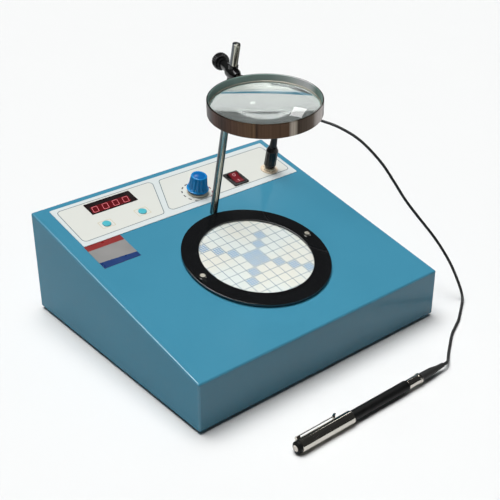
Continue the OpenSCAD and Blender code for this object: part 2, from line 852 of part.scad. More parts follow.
// Plain bright band with a ledge under the glass and a boss for the stud
module lens_rim() color("#b9b6b0")
    difference() {
        union() {
            on_lens()
                rotate_extrude($fn = 128)
                    polygon([
                        [rim_in, -rim_h / 2 + 0.3], [rim_in + 0.3, -rim_h / 2],
                        [lens_od / 2 - 0.3, -rim_h / 2], [lens_od / 2, -rim_h / 2 + 0.3],
                        [lens_od / 2, rim_h / 2 - 0.3], [lens_od / 2 - 0.3, rim_h / 2],
                        [rim_in + 0.3, rim_h / 2], [rim_in, rim_h / 2 - 0.3],
                        [rim_in, seat_top], [seat_r, seat_top],
                        [seat_r, seat_top - seat_t], [rim_in, seat_top - seat_t - 1]
                    ]);
            on_arm(lens_reach - lens_od / 2 - rim_boss_len)
                cylinder(d = rim_boss_d, h = rim_boss_len + 0.6);
        }
        on_arm(stud_start) cylinder(d = stud_d + 2 * slip, h = stud_end - stud_start + slip);
    }

// Glass, thick in the middle and the same on both faces
module lens_glass() color("#cfe8df", 0.5)
    on_lens()
        translate([0, 0, -glass_drop])
            rotate_extrude($fn = 128)
                intersection() {
                    translate([0, -glass_mid]) square([glass_r, 2 * glass_mid]);
                    translate([0, -glass_centre]) circle(glass_curve, $fn = 720);
                    translate([0, glass_centre]) circle(glass_curve, $fn = 720);
                }

// Sprung wire ring that lies on the glass's edge
module lens_retainer() color("#8f9290")
    on_lens()
        translate([0, 0, glass_edge / 2 + 0.72 - glass_drop])
            rotate_extrude($fn = 128) translate([glass_r - 0.6, 0]) circle(d = 1.2, $fn = 24);

// Plug and lead

pin_d = jack_bore_d - 2 * run;
pin_len = 27;
shell_d = 13.8;
shell_from = jack_barrel_top + 0.3;
shell_len = 27;
boot_top_d = 5.5;
plug_boot_d = 8;
plug_boot_len = 19;
plug_boot_top = shell_from + shell_len + plug_boot_len;
cord_fit = 0.2;

// Jack pin with a tip, a waist and a sleeve
module plug_pin() color("#c8c8c4")
    on_slope(jack_x, jack_s)
        rotate_extrude()
            polygon([
                [0, shell_from - pin_len - jack_barrel_top], [1.4, shell_from - pin_len - jack_barrel_top],
                [pin_d / 2 - 0.2, shell_from - pin_len - jack_barrel_top + 3.5],
                [pin_d / 2 - 1, shell_from - pin_len - jack_barrel_top + 5.5],
                [pin_d / 2, shell_from - pin_len - jack_barrel_top + 6.5],
                [pin_d / 2, shell_from + 4], [0, shell_from + 4]
            ]);

// Ribbed black shell with a chamfered foot and a sloping shoulder
module plug_shell() color("#1b1b1b")
    on_slope(jack_x, jack_s)
        difference() {
            rotate_extrude()
                polygon([
                    [0, shell_from], [shell_d / 2 - 1.5, shell_from], [shell_d / 2, shell_from + 3],
                    [shell_d / 2, shell_from + shell_len - 5],
                    [plug_boot_d / 2 + 0.5, shell_from + shell_len],
                    [0, shell_from + shell_len]
                ]);
            translate([0, 0, shell_from - 1]) cylinder(d = pin_d + 2 * slip, h = 1 + 4 + slip);
            for (a = [0:30:330])
                rotate(a) translate([shell_d / 2 + 0.2, 0, shell_from + 5])
                    cylinder(d = 1, h = shell_len - 12, $fn = 16);
        }

module plug_boot() color("#151515")
    on_slope(jack_x, jack_s)
        difference() {
            rotate_extrude()
                polygon([
                    [0, shell_from + shell_len], [plug_boot_d / 2, shell_from + shell_len],
                    [plug_boot_d / 2, shell_from + shell_len + 4], [boot_top_d / 2, plug_boot_top],
                    [0, plug_boot_top]
                ]);
            translate([0, 0, plug_boot_top - 8]) cylinder(d = cord_d + 2 * cord_fit, h = 10);
        }

tail_x = pen_x + cap_len + grip_len + collar_len + boot_len;
pen_y = -cab_d / 2 - pen_gap;
pen_z = cap_d / 2;

// Points of the lead's route: out of the plug, down past the cabinet's side, and over the bench to the pen.
// The first run starts from the plug, wherever that stands. The side run keeps its distance from a wider
// cabinet, and the bench run from a deeper one.
cord_out = cab_w / 2 - 155;
cord_forward = cab_d / 2 - 140;
cord_start = [
    slope_point(jack_x, jack_s, plug_boot_top - 7.5),
    slope_point(jack_x, jack_s, plug_boot_top + 7)
];
cord_top = [
    [2, -7.3, 9.9], [6, -18.3, 16.9], [12, -32.3, 18.9], [20, -51.3, 16.9], [28, -71.3, 12.9]
];
cord_side = [
    [157, -20, 161], [166, -42, 142], [172, -56, 124], [178, -70, 104], [183, -82, 90],
    [188, -94, 77], [192, -104, 66], [196, -113, 54], [200, -122, 40], [203, -130, 25],
    [204, -137, 12], [201, -143, 4.5], [193, -149, 1.8], [181, -157, 1.5], [167, -166, 1.5]
];
cord_bench = [
    [155, -172, 1.5], [143, -178, 1.5], [132, -185, 1.5], [122, -192, 1.5],
    [112, -199, 1.6], [104, -205, 2.5], [97, -210, 4.5]
];
cord_end = [
    [tail_x + 4, pen_y, pen_z],
    [tail_x - 7.5, pen_y, pen_z]
];
cord_points = concat(
    cord_start,
    [for (p = cord_top) p + cord_start[1]],
    [for (p = cord_side) p + [cord_out, -cord_forward, 0]],
    [for (p = cord_bench) p + [0, -cord_forward, 0]],
    cord_end
);
cord_sides = 8;
cord_steps = 2;

// Smooth curve through the points, and its direction, at place t counted in points
function cord_at(p, t) =
    let (i = min(floor(t), len(p) - 2), u = t - i,
         a = p[max(i - 1, 0)], b = p[i], c = p[i + 1], d = p[min(i + 2, len(p) - 1)])
    0.5 * (2 * b + (c - a) * u + (2 * a - 5 * b + 4 * c - d) * u * u + (3 * b - a - 3 * c + d) * u * u * u);
function cord_line(p) = [for (k = [0:(len(p) - 1) * cord_steps]) cord_at(p, k / cord_steps)];
function unit(v) = v / norm(v);
function cord_heading(line, k) = unit(line[min(k + 1, len(line) - 1)] - line[max(k - 1, 0)]);
// A side direction carried along the line without twisting
function cord_sideways(line, k, side) =
    k == len(line) ? [] :
    let (h = cord_heading(line, k), s = unit(side - (side * h) * h))
    concat([s], cord_sideways(line, k + 1, s));

module cord_tube(p, d, sides) {
    line = cord_line(p);
    across = cord_sideways(line, 0, [1, 0, 0]);
    n = len(line);
    points = [
        for (k = [0:n - 1], j = [0:sides - 1])
            let (h = cord_heading(line, k), a = 360 * j / sides)
            line[k] + d / 2 * (cos(a) * across[k] + sin(a) * cross(h, across[k]))
    ];
    walls = [
        for (k = [0:n - 2], j = [0:sides - 1])
            let (a = k * sides + j, b = k * sides + (j + 1) % sides)
            each [[a, a + sides, b], [b, a + sides, b + sides]]
    ];
    ends = [
        for (j = [1:sides - 2])
            each [[0, j, j + 1], [(n - 1) * sides, (n - 1) * sides + j + 1, (n - 1) * sides + j]]
    ];
    polyhedron(points, concat(walls, ends));
}

module probe_cord() color("#181818") cord_tube(cord_points, cord_d, cord_sides);

// Counting pen, lying on the bench along X

cap_wall = 1.3;
cap_end_t = 2;
cap_ring_t = 3;
cap_button_t = 1.5;
front_d = cap_d - 2 * cap_wall - 2 * run;
cap_from = pen_x + cap_button_t + cap_ring_t;
grip_from = pen_x + cap_len;
collar_from = grip_from + grip_len;
boot_from = collar_from + collar_len;
nib_hole_d = 3;
front_len = 42;
front_to = grip_from - front_len;

// Turns a profile drawn as [radius, place along x] about the pen's axis
module on_pen() {
    translate([0, pen_y, pen_z]) rotate([0, 90, 0]) rotate_extrude() children();
}

module pen_barrel() color("#101010")
    on_pen()
        polygon([
            [0, grip_from + free], [grip_d / 2 - 0.4, grip_from + free],
            [grip_d / 2, grip_from + free + 0.4],
            [grip_d / 2, collar_from - 1], [grip_d / 2 - 1, collar_from], [0, collar_from]
        ]);

// Front section that the cap slides over, with a hole for the tip
module pen_front() color("#2a2a2a")
    on_pen()
        polygon([
            [nib_hole_d / 2 + run, front_to], [2.6, front_to], [front_d / 2, front_to + 14],
            [front_d / 2, grip_from + free], [0, grip_from + free],
            [0, front_to + 16], [nib_hole_d / 2 + run, front_to + 16]
        ]);

nib_out = 4;
nib_travel = 1.5;

module pen_nib() color("#d0c9a0")
    on_pen()
        polygon([
            [0, front_to - nib_out], [0.6, front_to - nib_out], [nib_hole_d / 2, front_to - nib_out + 3],
            [nib_hole_d / 2, front_to + 16 - nib_travel - free], [0, front_to + 16 - nib_travel - free]
        ]);

collar_ring_d = 11;

module pen_collar() color("#cbcbc8")
    on_pen()
        polygon([
            [0, collar_from], [collar_d / 2, collar_from], [collar_d / 2, boot_from - 2.4],
            [collar_ring_d / 2 - 0.3, boot_from - 2.4], [collar_ring_d / 2, boot_from - 2],
            [collar_ring_d / 2, boot_from - 0.6], [collar_ring_d / 2 - 0.4, boot_from], [0, boot_from]
        ]);

boot_wide_d = 8.6;
boot_end_d = 4.6;

// Tapered strain relief with a bore for the lead's end
module pen_boot() color("#161616")
    on_pen()
        polygon([
            [0, boot_from], [boot_wide_d / 2, boot_from],
            [boot_wide_d / 2 - 0.3, boot_from + boot_len * 0.5],
            [boot_end_d / 2 + 0.4, boot_from + boot_len * 0.75], [boot_end_d / 2, tail_x],
            [cord_d / 2 + cord_fit, tail_x], [cord_d / 2 + cord_fit, tail_x - 8], [0, tail_x - 8]
        ]);

module pen_cap() color("#d4d4d0")
    on_pen()
        polygon([
            [0, cap_from], [cap_d / 2 - 0.4, cap_from], [cap_d / 2, cap_from + 0.4],
            [cap_d / 2, grip_from - 0.3], [cap_d / 2 - 0.3, grip_from], [cap_d / 2 - cap_wall, grip_from],
            [cap_d / 2 - cap_wall, cap_from + cap_end_t], [0, cap_from + cap_end_t]
        ]);

module cap_ring() color("#20201e")
    on_pen()
        polygon([
            [0, cap_from - cap_ring_t], [cap_d / 2 - 1.4, cap_from - cap_ring_t],
            [cap_d / 2 - 0.8, cap_from - cap_ring_t + 0.6], [cap_d / 2 - 0.8, cap_from], [0, cap_from]
        ]);

module cap_button() color("#e6ddd4")
    on_pen()
        polygon([
            [0, pen_x], [cap_d / 2 - 2.6, pen_x], [cap_d / 2 - 2, pen_x + 0.6],
            [cap_d / 2 - 2, cap_from - cap_ring_t], [0, cap_from - cap_ring_t]
        ]);

clip_w = 3.4;
clip_t = 0.8;
clip_gap = 1.5;
clip_len = 47;
clip_roll = -40;
clip_root = 4;

// Strip clip: a root on the cap, a long blade and a ball at its free end
module cap_clip() color("#cfcfcb")
    translate([cap_from, pen_y, pen_z])
        rotate([clip_roll, 0, 0])
            translate([0, 0, cap_d / 2])
                intersection() {
                    rotate([90, 0, 0])
                        linear_extrude(clip_w, center = true)
                            difference() {
                                union() {
                                    translate([0.4, -0.6]) square([clip_root, clip_gap + clip_t + 0.2]);
                                    translate([1.4, clip_gap]) square([clip_len - 1.4, clip_t]);
                                    translate([clip_len - 1.6, clip_gap - 0.3]) circle(d = 2.2, $fn = 32);
                                    translate([clip_len - 0.8, clip_gap]) rotate(35) square([3, clip_t]);
                                }
                                translate([0.4, clip_gap + clip_t - 1]) difference() {
                                    translate([-0.1, 0]) square(1.1);
                                    translate([1, 0]) circle(1, $fn = 32);
                                }
                            }
                    rotate([0, 90, 0])
                        difference() {
                            translate([cap_d / 2, 0, 0]) cylinder(r = cap_d / 2 + 8, h = clip_len + 8);
                            translate([cap_d / 2, 0, -1]) cylinder(d = cap_d, h = clip_len + 10);
                        }
                }

cabinet_shell();
base_plate();
base_screws();
rubber_feet();
foot_screws();
foot_nuts();
panel_overlay();
display_window();
display_module();
control_board();
board_standoffs();
button_switches();
left_button();
right_button();
brightness_pot();
pot_washer();
pot_nut();
pot_shaft();
dimmer_knob();
switch_housing();
switch_rocker();
jack_socket();
jack_washer();
jack_nut();
stage_ring();
screw_cups();
ring_screws();
grid_plate();
opal_diffuser();
lamp_bowl();
bowl_nuts();
lamp_board();
lamp_leds();
power_board();
power_transformer();
power_pillars();
mains_grommet();
stand_rod();
rod_washer();
rod_nut();
clamp_liner();
lens_arm();
arm_stud();
thumbscrew();
lens_rim();
lens_glass();
lens_retainer();
plug_pin();
plug_shell();
plug_boot();
probe_cord();
pen_boot();
pen_collar();
pen_barrel();
pen_front();
pen_nib();
pen_cap();
cap_clip();
cap_ring();
cap_button();
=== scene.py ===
# %% [markdown]
# # A digital colony counter
# The instrument is a sloping steel cabinet with a counting stage, a strip of controls along its rear
# edge, a magnifier on a rod, and a counting pen on a thin lead.
# The packed CAD model gives every place and size. This script dresses it: smooth meshes where the eye
# would catch facets, glass, print, and a finish for each material.

import math

import bmesh
import bpy
from mathutils import Matrix, Vector


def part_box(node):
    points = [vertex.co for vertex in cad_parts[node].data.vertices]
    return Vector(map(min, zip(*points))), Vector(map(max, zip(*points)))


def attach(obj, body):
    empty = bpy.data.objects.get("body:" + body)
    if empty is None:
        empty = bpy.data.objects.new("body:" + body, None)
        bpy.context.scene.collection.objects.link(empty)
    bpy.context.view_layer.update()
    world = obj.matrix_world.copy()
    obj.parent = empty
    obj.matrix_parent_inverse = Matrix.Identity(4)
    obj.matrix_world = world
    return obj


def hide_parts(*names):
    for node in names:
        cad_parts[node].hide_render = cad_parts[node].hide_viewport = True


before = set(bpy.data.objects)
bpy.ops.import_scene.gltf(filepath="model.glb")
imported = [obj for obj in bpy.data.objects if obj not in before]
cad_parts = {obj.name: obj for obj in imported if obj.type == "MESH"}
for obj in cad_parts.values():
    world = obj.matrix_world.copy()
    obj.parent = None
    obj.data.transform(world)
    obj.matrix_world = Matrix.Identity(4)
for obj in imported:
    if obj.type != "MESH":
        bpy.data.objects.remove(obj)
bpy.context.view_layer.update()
mm = 0.001

# %% [markdown]
# **The camera.** It comes first, because everything after it is judged from there. It looks down at the
# left front corner of the cabinet. A short lens close by would make that corner look far too big, so the
# lens is long and far away, which keeps the far edges nearly parallel. Its place was found by laying the
# cabinet's corners over those in the photograph. The picture is shown with the plain sRGB curve, so that
# a white stays white.

# %% Camera
camera = bpy.data.objects.new("photo_camera", bpy.data.cameras.new("photo_camera"))
camera.data.sensor_width = 36
camera.data.lens = 71.25
camera.location = (-0.56455, -0.69791, 0.56486)
camera_target = Vector((0.02187, 0.00195, 0.0660))
camera.rotation_euler = (camera_target - camera.location).to_track_quat("-Z", "Y").to_euler()
bpy.context.scene.collection.objects.link(camera)
bpy.context.scene.camera = camera
bpy.context.scene.view_settings.view_transform = "Standard"
print("camera distance", round((camera_target - camera.location).length, 3), "m")

# %% [markdown]
# **The slope.** Nearly everything stands square to the sloping top, so one matrix carries it there: x to
# the right, y up the slope from the front edge, z out of the top. Each piece could be turned and moved on
# its own, but one matrix keeps them all on the same plane. The cabinet's own box gives the slope.

# %% The slope
cabinet_low, cabinet_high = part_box("cabinet_shell")
front_top = 54.5 * mm
back_top = 113.5 * mm
depth = cabinet_high.y - cabinet_low.y
slope = math.atan2(back_top - front_top, depth)
slope_length = math.hypot(depth, back_top - front_top) / mm


def on_slope(x, y, z=0.0):
    """Matrix that puts a piece at x, y, z millimetres on the sloping top."""
    edge = Matrix.Translation((0, cabinet_low.y, front_top))
    return edge @ Matrix.Rotation(slope, 4, "X") @ Matrix.Translation((x * mm, y * mm, z * mm))


print("slope", round(math.degrees(slope), 2), "degrees,", round(slope_length, 2), "mm long")

# %% Places on the slope
panel_gap = 7.6
panel_tall = 67.5
panel_top = 0.5
panel_y = slope_length - panel_gap - panel_tall / 2
window = (-74.2, panel_y + 16.6)
left_button = (-97.9, panel_y - 12.5)
right_button = (-53.8, panel_y - 12.5)
knob = (19.2, panel_y - 11.3)
switch = (73.0, panel_y - 11.75)
jack = (120.0, panel_y - 14.75)
stage = (3.5, 112.5)
rod = (11.5, 194.25)
print("the panel's middle is", round(panel_y, 1), "mm up the slope")

# %% [markdown]
# **Finishes.** Each starts from a Principled shader. Its colours are written as sRGB hex values, as a
# paint card gives them, and one function turns them to the linear numbers that Blender works in. One
# small function adds any node with its settings and links.

# %% Colours, nodes and plain finishes
def srgb(code):
    """Linear colour for an sRGB hex code."""
    parts = [int(code[i : i + 2], 16) / 255 for i in (1, 3, 5)]
    return (*[p / 12.92 if p <= 0.04045 else ((p + 0.055) / 1.055) ** 2.4 for p in parts], 1.0)


def add_node(material, kind, inputs, **settings):
    """Adds a node, sets its properties, and sets or links its input sockets."""
    node = material.node_tree.nodes.new(kind)
    for name, value in settings.items():
        setattr(node, name, value)
    for socket, value in inputs.items():
        if isinstance(value, bpy.types.NodeSocket):
            material.node_tree.links.new(value, node.inputs[socket])
        else:
            node.inputs[socket].default_value = value
    return node


def plain_finish(name, colour, sockets):
    """A material with one Principled shader; returns both."""
    material = bpy.data.materials.new(name)
    material.use_nodes = True
    shader = material.node_tree.nodes["Principled BSDF"]
    shader.inputs["Base Color"].default_value = srgb(colour)
    for socket, value in sockets.items():
        shader.inputs[socket].default_value = value
    return material, shader


print("the grey #808080 is", round(srgb("#808080")[0], 3), "in linear light")

# %% [markdown]
# Most surfaces need the same three things: patches of two near colours, uneven gloss, and a fine bump.
# Pictures of real surfaces could give them, but nodes stay sharp close by and fit any shape. All three
# read the piece's own coordinates, so a millimetre is a millimetre on every piece. A Mix node has inputs
# for several kinds of value: 0, 6 and 7 are its share and its two colours.

# %% Finish with patches, uneven gloss and grit
def finish(name, colours, patch_size, grit_size, relief, roughness, sockets):
    """Patches of two colours, uneven gloss and a fine bump. Sizes are in millimetres."""
    material, shader = plain_finish(name, colours[0], sockets)
    place = add_node(material, "ShaderNodeTexCoord", {}).outputs["Object"]
    cloud = add_node(
        material, "ShaderNodeTexNoise", {"Vector": place, "Scale": 1 / (patch_size * mm), "Detail": 4.0}
    )
    blend = add_node(
        material,
        "ShaderNodeMix",
        {0: cloud.outputs["Fac"], 6: srgb(colours[0]), 7: srgb(colours[1])},
        data_type="RGBA",
    )
    dulling = add_node(
        material,
        "ShaderNodeMapRange",
        {"Value": cloud.outputs["Fac"], "From Min": 0.3, "From Max": 0.7,
         "To Min": roughness[0], "To Max": roughness[1]},
    )
    specks = add_node(
        material, "ShaderNodeTexNoise", {"Vector": place, "Scale": 1 / (grit_size * mm), "Detail": 2.0}
    )
    bump = add_node(
        material,
        "ShaderNodeBump",
        {"Height": specks.outputs["Fac"], "Strength": 1.0, "Distance": relief * mm},
    )
    links = material.node_tree.links
    links.new(blend.outputs[2], shader.inputs["Base Color"])
    links.new(dulling.outputs["Result"], shader.inputs["Roughness"])
    links.new(bump.outputs["Normal"], shader.inputs["Normal"])
    return material


print("a finish:", finish.__doc__)

# %% [markdown]
# ** Stove enamel on sheet steel.** The cabinet is sprayed in a satin mid blue. Sprayed enamel has a slight
# orange-peel swell of a millimetre or two, and dulls unevenly where it is handled. Along the edges hands
# and cloths have polished it. The front is painted a darker, greyer blue as painted shade, and is a little
# glossier. The IOR is matched to the gloss that is seen: low on the dulled walls, and as on new enamel
# along the edges.

# %% Enamel
# Each finish: its name, two colours, the size of patches and of grit, the relief of the grit, the lowest
# and highest roughness, and what is the same all over.
blues = ("#3C7F98", "#40849D")
enamel = finish("satin_blue_enamel", blues, 60, 1.6, 0.006, (0.18, 0.24), {"IOR": 1.2})
edge_enamel = finish("polished_blue_enamel", blues, 60, 1.6, 0.003, (0.1, 0.14), {"IOR": 1.55})
# Painted shade: the front's darker, greyer blues stand for the shade that falls on the front.
front_shade_blues = ("#336F85", "#37748A")
front_shade_enamel = finish(
    "blue_enamel_painted_front_shade", front_shade_blues, 60, 1.6, 0.004, (0.18, 0.24), {"IOR": 1.45}
)
print("finishes", enamel.name, edge_enamel.name, front_shade_enamel.name)

# %% [markdown]
# **Printed polyester film.** The control panel is a white film, printed and glued down, so it is smooth
# and satin. The fields inside its frames are a warmer white. The inks are thin flat colours. The small
# plate on the slope is brushed foil.

# %% Film, inks and foil
dry_ink = {"IOR": 1.4}
film = finish("printed_polyester_film", ("#CDD3D2", "#C8CECD"), 40, 0.8, 0.003, (0.3, 0.4), dry_ink)
field_ink = finish(
    "warm_white_screen_ink", ("#D0D1CA", "#CCCDC6"), 40, 0.8, 0.002, (0.3, 0.4), dry_ink
)
line_ink = finish("slate_screen_ink", ("#56666B", "#617176"), 12, 0.5, 0.002, (0.45, 0.55), dry_ink)
dark_ink = finish(
    "dark_blue_screen_ink", ("#1E2228", "#262A31"), 12, 0.5, 0.002, (0.45, 0.55), dry_ink
)
red_ink = finish("red_screen_ink", ("#7C1F1E", "#862625"), 12, 0.5, 0.002, (0.25, 0.35), dry_ink)
navy_ink = finish("navy_screen_ink", ("#0A2C60", "#0F336A"), 12, 0.5, 0.002, (0.25, 0.35), dry_ink)
buff_ink = finish("buff_screen_ink", ("#BDB295", "#C5BBA0"), 8, 0.5, 0.002, (0.45, 0.55), dry_ink)
foil = finish("brushed_foil", ("#7E7D7B", "#888684"), 20, 0.4, 0.002, (0.42, 0.5), {"Metallic": 0.6})
print("finishes", film.name, field_ink.name, line_ink.name, dark_ink.name, red_ink.name, foil.name)

# %% [markdown]
# ** Plated and bare metals.** The cup washers, the stud and the pen's cap are chromium plate, nearly a
# mirror with fine wiping marks. Screws are nickel plated. The ring under the knob is brass under a thick
# pale lacquer, and its colour is made paler still, as painted light on a ring that lies in the knob's
# shadow. The ring of the socket is nickel with brown stains. Both show little of their metal, so they are
# made almost as a plastic is.

# %% Metals
metal = {"Metallic": 1.0}
chrome = finish("chromium_plate", ("#CFCBC2", "#C2BEB5"), 9, 0.6, 0.001, (0.08, 0.16), metal)
nickel = finish("nickel_plate", ("#D6D1C4", "#B9B4A6"), 4, 0.4, 0.004, (0.36, 0.5), metal)
# Painted light: paler than lacquered brass, so the ring in the knob's shadow stays light.
brass = finish(
    "pale_brass_with_painted_light", ("#F0E8D6", "#E2D6BC"), 5, 0.5, 0.004, (0.35, 0.5), {"Metallic": 0.1}
)
stained = finish(
    "stained_nickel_ring", ("#F2EBDD", "#C6A474"), 3, 0.5, 0.006, (0.35, 0.5), {"Metallic": 0.15}
)
zinc = finish("zinc_plated_steel", ("#B2B4B4", "#989A9C"), 6, 0.6, 0.006, (0.32, 0.5), metal)
spun = finish("spun_aluminium", ("#CECFCE", "#BBBCBC"), 14, 0.7, 0.006, (0.28, 0.42), metal)
print("finishes", chrome.name, nickel.name, brass.name, stained.name, zinc.name, spun.name)

# %% [markdown]
# ** Mouldings.** The stage ring is polished black acrylic. The knob is glossy blue ABS with a disc let
# into its top, whose darker blue is painted shade, and the buttons are pale blue ABS. The clamp, the plug
# and the switch are black nylon, and the pen's grip has a soft matt coating. Most plastics have an IOR
# near 1.5; where the gloss that is seen differs, the IOR is matched to it.

# %% Plastics and rubber
plastic = {"IOR": 1.52}
acrylic = finish(
    "polished_black_acrylic", ("#0C0D0E", "#121315"), 30, 1.5, 0.0004, (0.03, 0.05), {"IOR": 1.75}
)
blue_abs = finish("glossy_blue_abs", ("#1884C6", "#1E8CCE"), 6, 0.5, 0.004, (0.14, 0.2), {"IOR": 1.4})
# Painted shade: the inlay's darker blue stands for shade on the knob's top.
inlay_blue_painted_shade = finish("blue_abs_inlay_painted_shade", ("#0C5A9A", "#1060A2"), 6, 0.5, 0.004, (0.1, 0.16), {"IOR": 1.3})
pale_abs = finish("pale_blue_abs", ("#38A5B3", "#44AEBB"), 4, 0.4, 0.003, (0.3, 0.4), plastic)
black_nylon = finish("black_nylon", ("#0F0F0F", "#171717"), 7, 0.5, 0.006, (0.2, 0.28), {"IOR": 1.42})
grip_coat = finish(
    "soft_black_grip_coating", ("#070707", "#0E0E0E"), 8, 0.4, 0.008, (0.42, 0.55), {"IOR": 1.3}
)
rubber = finish("black_rubber", ("#131313", "#1D1D1D"), 9, 0.5, 0.012, (0.5, 0.65), plastic)
mark_ink = finish("pale_mark_ink", ("#D8A0A4", "#CC9095"), 3, 0.4, 0.002, (0.4, 0.5), plastic)
ivory = finish("ivory_nylon", ("#E8E0D7", "#DCD2C7"), 5, 0.4, 0.006, (0.4, 0.52), plastic)
print("finishes", acrylic.name, blue_abs.name, pale_abs.name, black_nylon.name, rubber.name)

# %% [markdown]
# **Hidden electronics.** Nobody sees the boards with the cabinet closed, but each still has its own
# finish: green solder mask, dark mouldings and pale lamps.

# %% Finishes inside the cabinet
solder_mask = finish("green_solder_mask", ("#1B6135", "#267644"), 8, 1.0, 0.01, (0.35, 0.5), plastic)
dark_case = finish("dark_moulded_case", ("#212121", "#2E2E2E"), 8, 0.8, 0.01, (0.45, 0.6), plastic)
lamp_white = finish("white_lamp_resin", ("#F6F3E9", "#ECE8DA"), 8, 0.8, 0.006, (0.35, 0.5), plastic)
print("finishes", solder_mask.name, dark_case.name, lamp_white.name)

# %% [markdown]
# **The lead.** A thin black lead leaves the plug, rises a little, falls past the cabinet's right side and
# runs over the bench to the pen. It is seen from end to end, so the route is its whole length. A mesh
# tube would look the same, but a curve can be measured. A Bezier curve through the route's points, with
# handles a sixth of the way between the neighbours, is the same smooth curve as the CAD one.

# %% Route of the lead
plug_foot = 4.4
shell_length = 27
sleeve_length = 19
sleeve_top = plug_foot + shell_length + sleeve_length
held_in_sleeve = 7.5
straight_out = 7
pen_axis = (-213.0, 6.5)
# The points are those of the CAD lead, in millimetres.
lead_start = on_slope(*jack, sleeve_top + straight_out).translation
lead_route = [on_slope(*jack, sleeve_top - held_in_sleeve).translation, lead_start]
for step in (
    (2, -7.3, 9.9), (6, -18.3, 16.9), (12, -32.3, 18.9), (20, -51.3, 16.9), (28, -71.3, 12.9),
):
    lead_route.append(lead_start + Vector(step) * mm)
for point in (
    (157, -20, 161), (166, -42, 142), (172, -56, 124), (178, -70, 104), (183, -82, 90),
    (188, -94, 77), (192, -104, 66), (196, -113, 54), (200, -122, 40), (203, -130, 25),
    (204, -137, 12), (201, -143, 4.5), (193, -149, 1.8), (181, -157, 1.5), (167, -166, 1.5),
    (155, -172, 1.5), (143, -178, 1.5), (132, -185, 1.5), (122, -192, 1.5),
    (112, -199, 1.6), (104, -205, 2.5), (97, -210, 4.5),
    (90, *pen_axis), (78.5, *pen_axis),
):
    lead_route.append(Vector(point) * mm)
print("route of", len(lead_route), "points")

# %% Lead
lead_diameter = 3.0
lead_curve = bpy.data.curves.new("probe_lead", "CURVE")
lead_curve.dimensions = "3D"
lead_curve.bevel_depth = lead_diameter / 2 * mm
lead_curve.bevel_resolution = 5
lead_curve.resolution_u = 8
lead_curve.use_fill_caps = True
lead_spline = lead_curve.splines.new("BEZIER")
lead_spline.bezier_points.add(len(lead_route) - 1)
for i, knot in enumerate(lead_spline.bezier_points):
    before = lead_route[max(i - 1, 0)]
    after = lead_route[min(i + 1, len(lead_route) - 1)]
    knot.co = lead_route[i]
    knot.handle_left_type = "FREE"
    knot.handle_right_type = "FREE"
    knot.handle_left = lead_route[i] - (after - before) / 6
    knot.handle_right = lead_route[i] + (after - before) / 6
lead_curve.materials.append(rubber)
lead = bpy.data.objects.new("probe_lead", lead_curve)
bpy.context.scene.collection.objects.link(lead)
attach(lead, "probe")
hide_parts("probe_cord")

# %% [markdown]
# **The cabinet.** It is one sheet folded over the front, top and back, with side plates welded in. The CAD
# mesh is loose triangles with hard edges, which can't be bevelled well. A cube pulled into a wedge and
# bevelled along its upper edges gives clean round folds. The underside is left open.

# %% Folded sheet
fold_radius = 1.9
largest_fold = 0.002  # no face of a fold has a larger area, in square metres
satin_walls, polished_folds, painted_shade_front = range(3)
cabinet_bm = bmesh.new()
bmesh.ops.create_cube(cabinet_bm, size=1.0)
for vert in cabinet_bm.verts:
    top = front_top if vert.co.y < 0 else back_top
    vert.co.x *= cabinet_high.x - cabinet_low.x
    vert.co.y *= depth
    vert.co.z = top if vert.co.z > 0 else cabinet_low.z
upper = [e for e in cabinet_bm.edges if max(v.co.z for v in e.verts) > front_top - 1 * mm]
bmesh.ops.bevel(
    cabinet_bm, geom=upper, offset=fold_radius * mm, offset_type="OFFSET", segments=5, profile=0.5,
    affect="EDGES", material=-1, clamp_overlap=True,
)
underside = [f for f in cabinet_bm.faces if f.normal.z < -0.9]
bmesh.ops.delete(cabinet_bm, geom=underside, context="FACES")
for face in cabinet_bm.faces:
    face.material_index = polished_folds if face.calc_area() < largest_fold else satin_walls
    # The front's faces take the enamel with painted shade.
    if face.normal.y < -0.99:
        face.material_index = painted_shade_front
print("folded sheet of", len(cabinet_bm.faces), "faces")

# %% [markdown]
# Openings let the controls and the stage through the sheet. A boolean cut would leave long thin faces
# that shade badly. Four straight cuts beside each opening split the top into rectangles, and the one in
# the middle is taken out. The pieces above cover the square corners.

# %% Openings in the slope
slope_turn = on_slope(0, 0).to_3x3()
slope_normal = slope_turn @ Vector((0, 0, 1))
slope_up = slope_turn @ Vector((0, 1, 0))
# Each opening: where its middle is on the slope, its width and its height, in millimetres.
openings = [
    (*switch, 17.2, 19.7),
    (*left_button, 10.6, 10.6),
    (*right_button, 10.6, 10.6),
    (*jack, 9.4, 9.4),
    (*knob, 7.4, 7.4),
    (*stage, 80, 80),
]
for x, y, wide, tall in openings:
    cuts = [
        (on_slope(x - wide / 2, y), Vector((1, 0, 0))),
        (on_slope(x + wide / 2, y), Vector((1, 0, 0))),
        (on_slope(x, y - tall / 2), slope_up),
        (on_slope(x, y + tall / 2), slope_up),
    ]
    for spot, direction in cuts:
        tops = [f for f in cabinet_bm.faces if f.normal.dot(slope_normal) > 0.9999]
        rims = {e for f in tops for e in f.edges} | {v for f in tops for v in f.verts}
        bmesh.ops.bisect_plane(
            cabinet_bm, geom=tops + list(rims), dist=1e-7, plane_co=spot.translation, plane_no=direction
        )
    middle = on_slope(x, y).inverted()
    inside = []
    for face in cabinet_bm.faces:
        local = middle @ face.calc_center_median() / mm
        if abs(local.z) < 0.1 and abs(local.x) < wide / 2 and abs(local.y) < tall / 2:
            inside.append(face)
    bmesh.ops.delete(cabinet_bm, geom=inside, context="FACES")
bmesh.ops.remove_doubles(cabinet_bm, verts=cabinet_bm.verts, dist=1e-6)
bmesh.ops.recalc_face_normals(cabinet_bm, faces=cabinet_bm.faces)
print(len(openings), "openings cut")
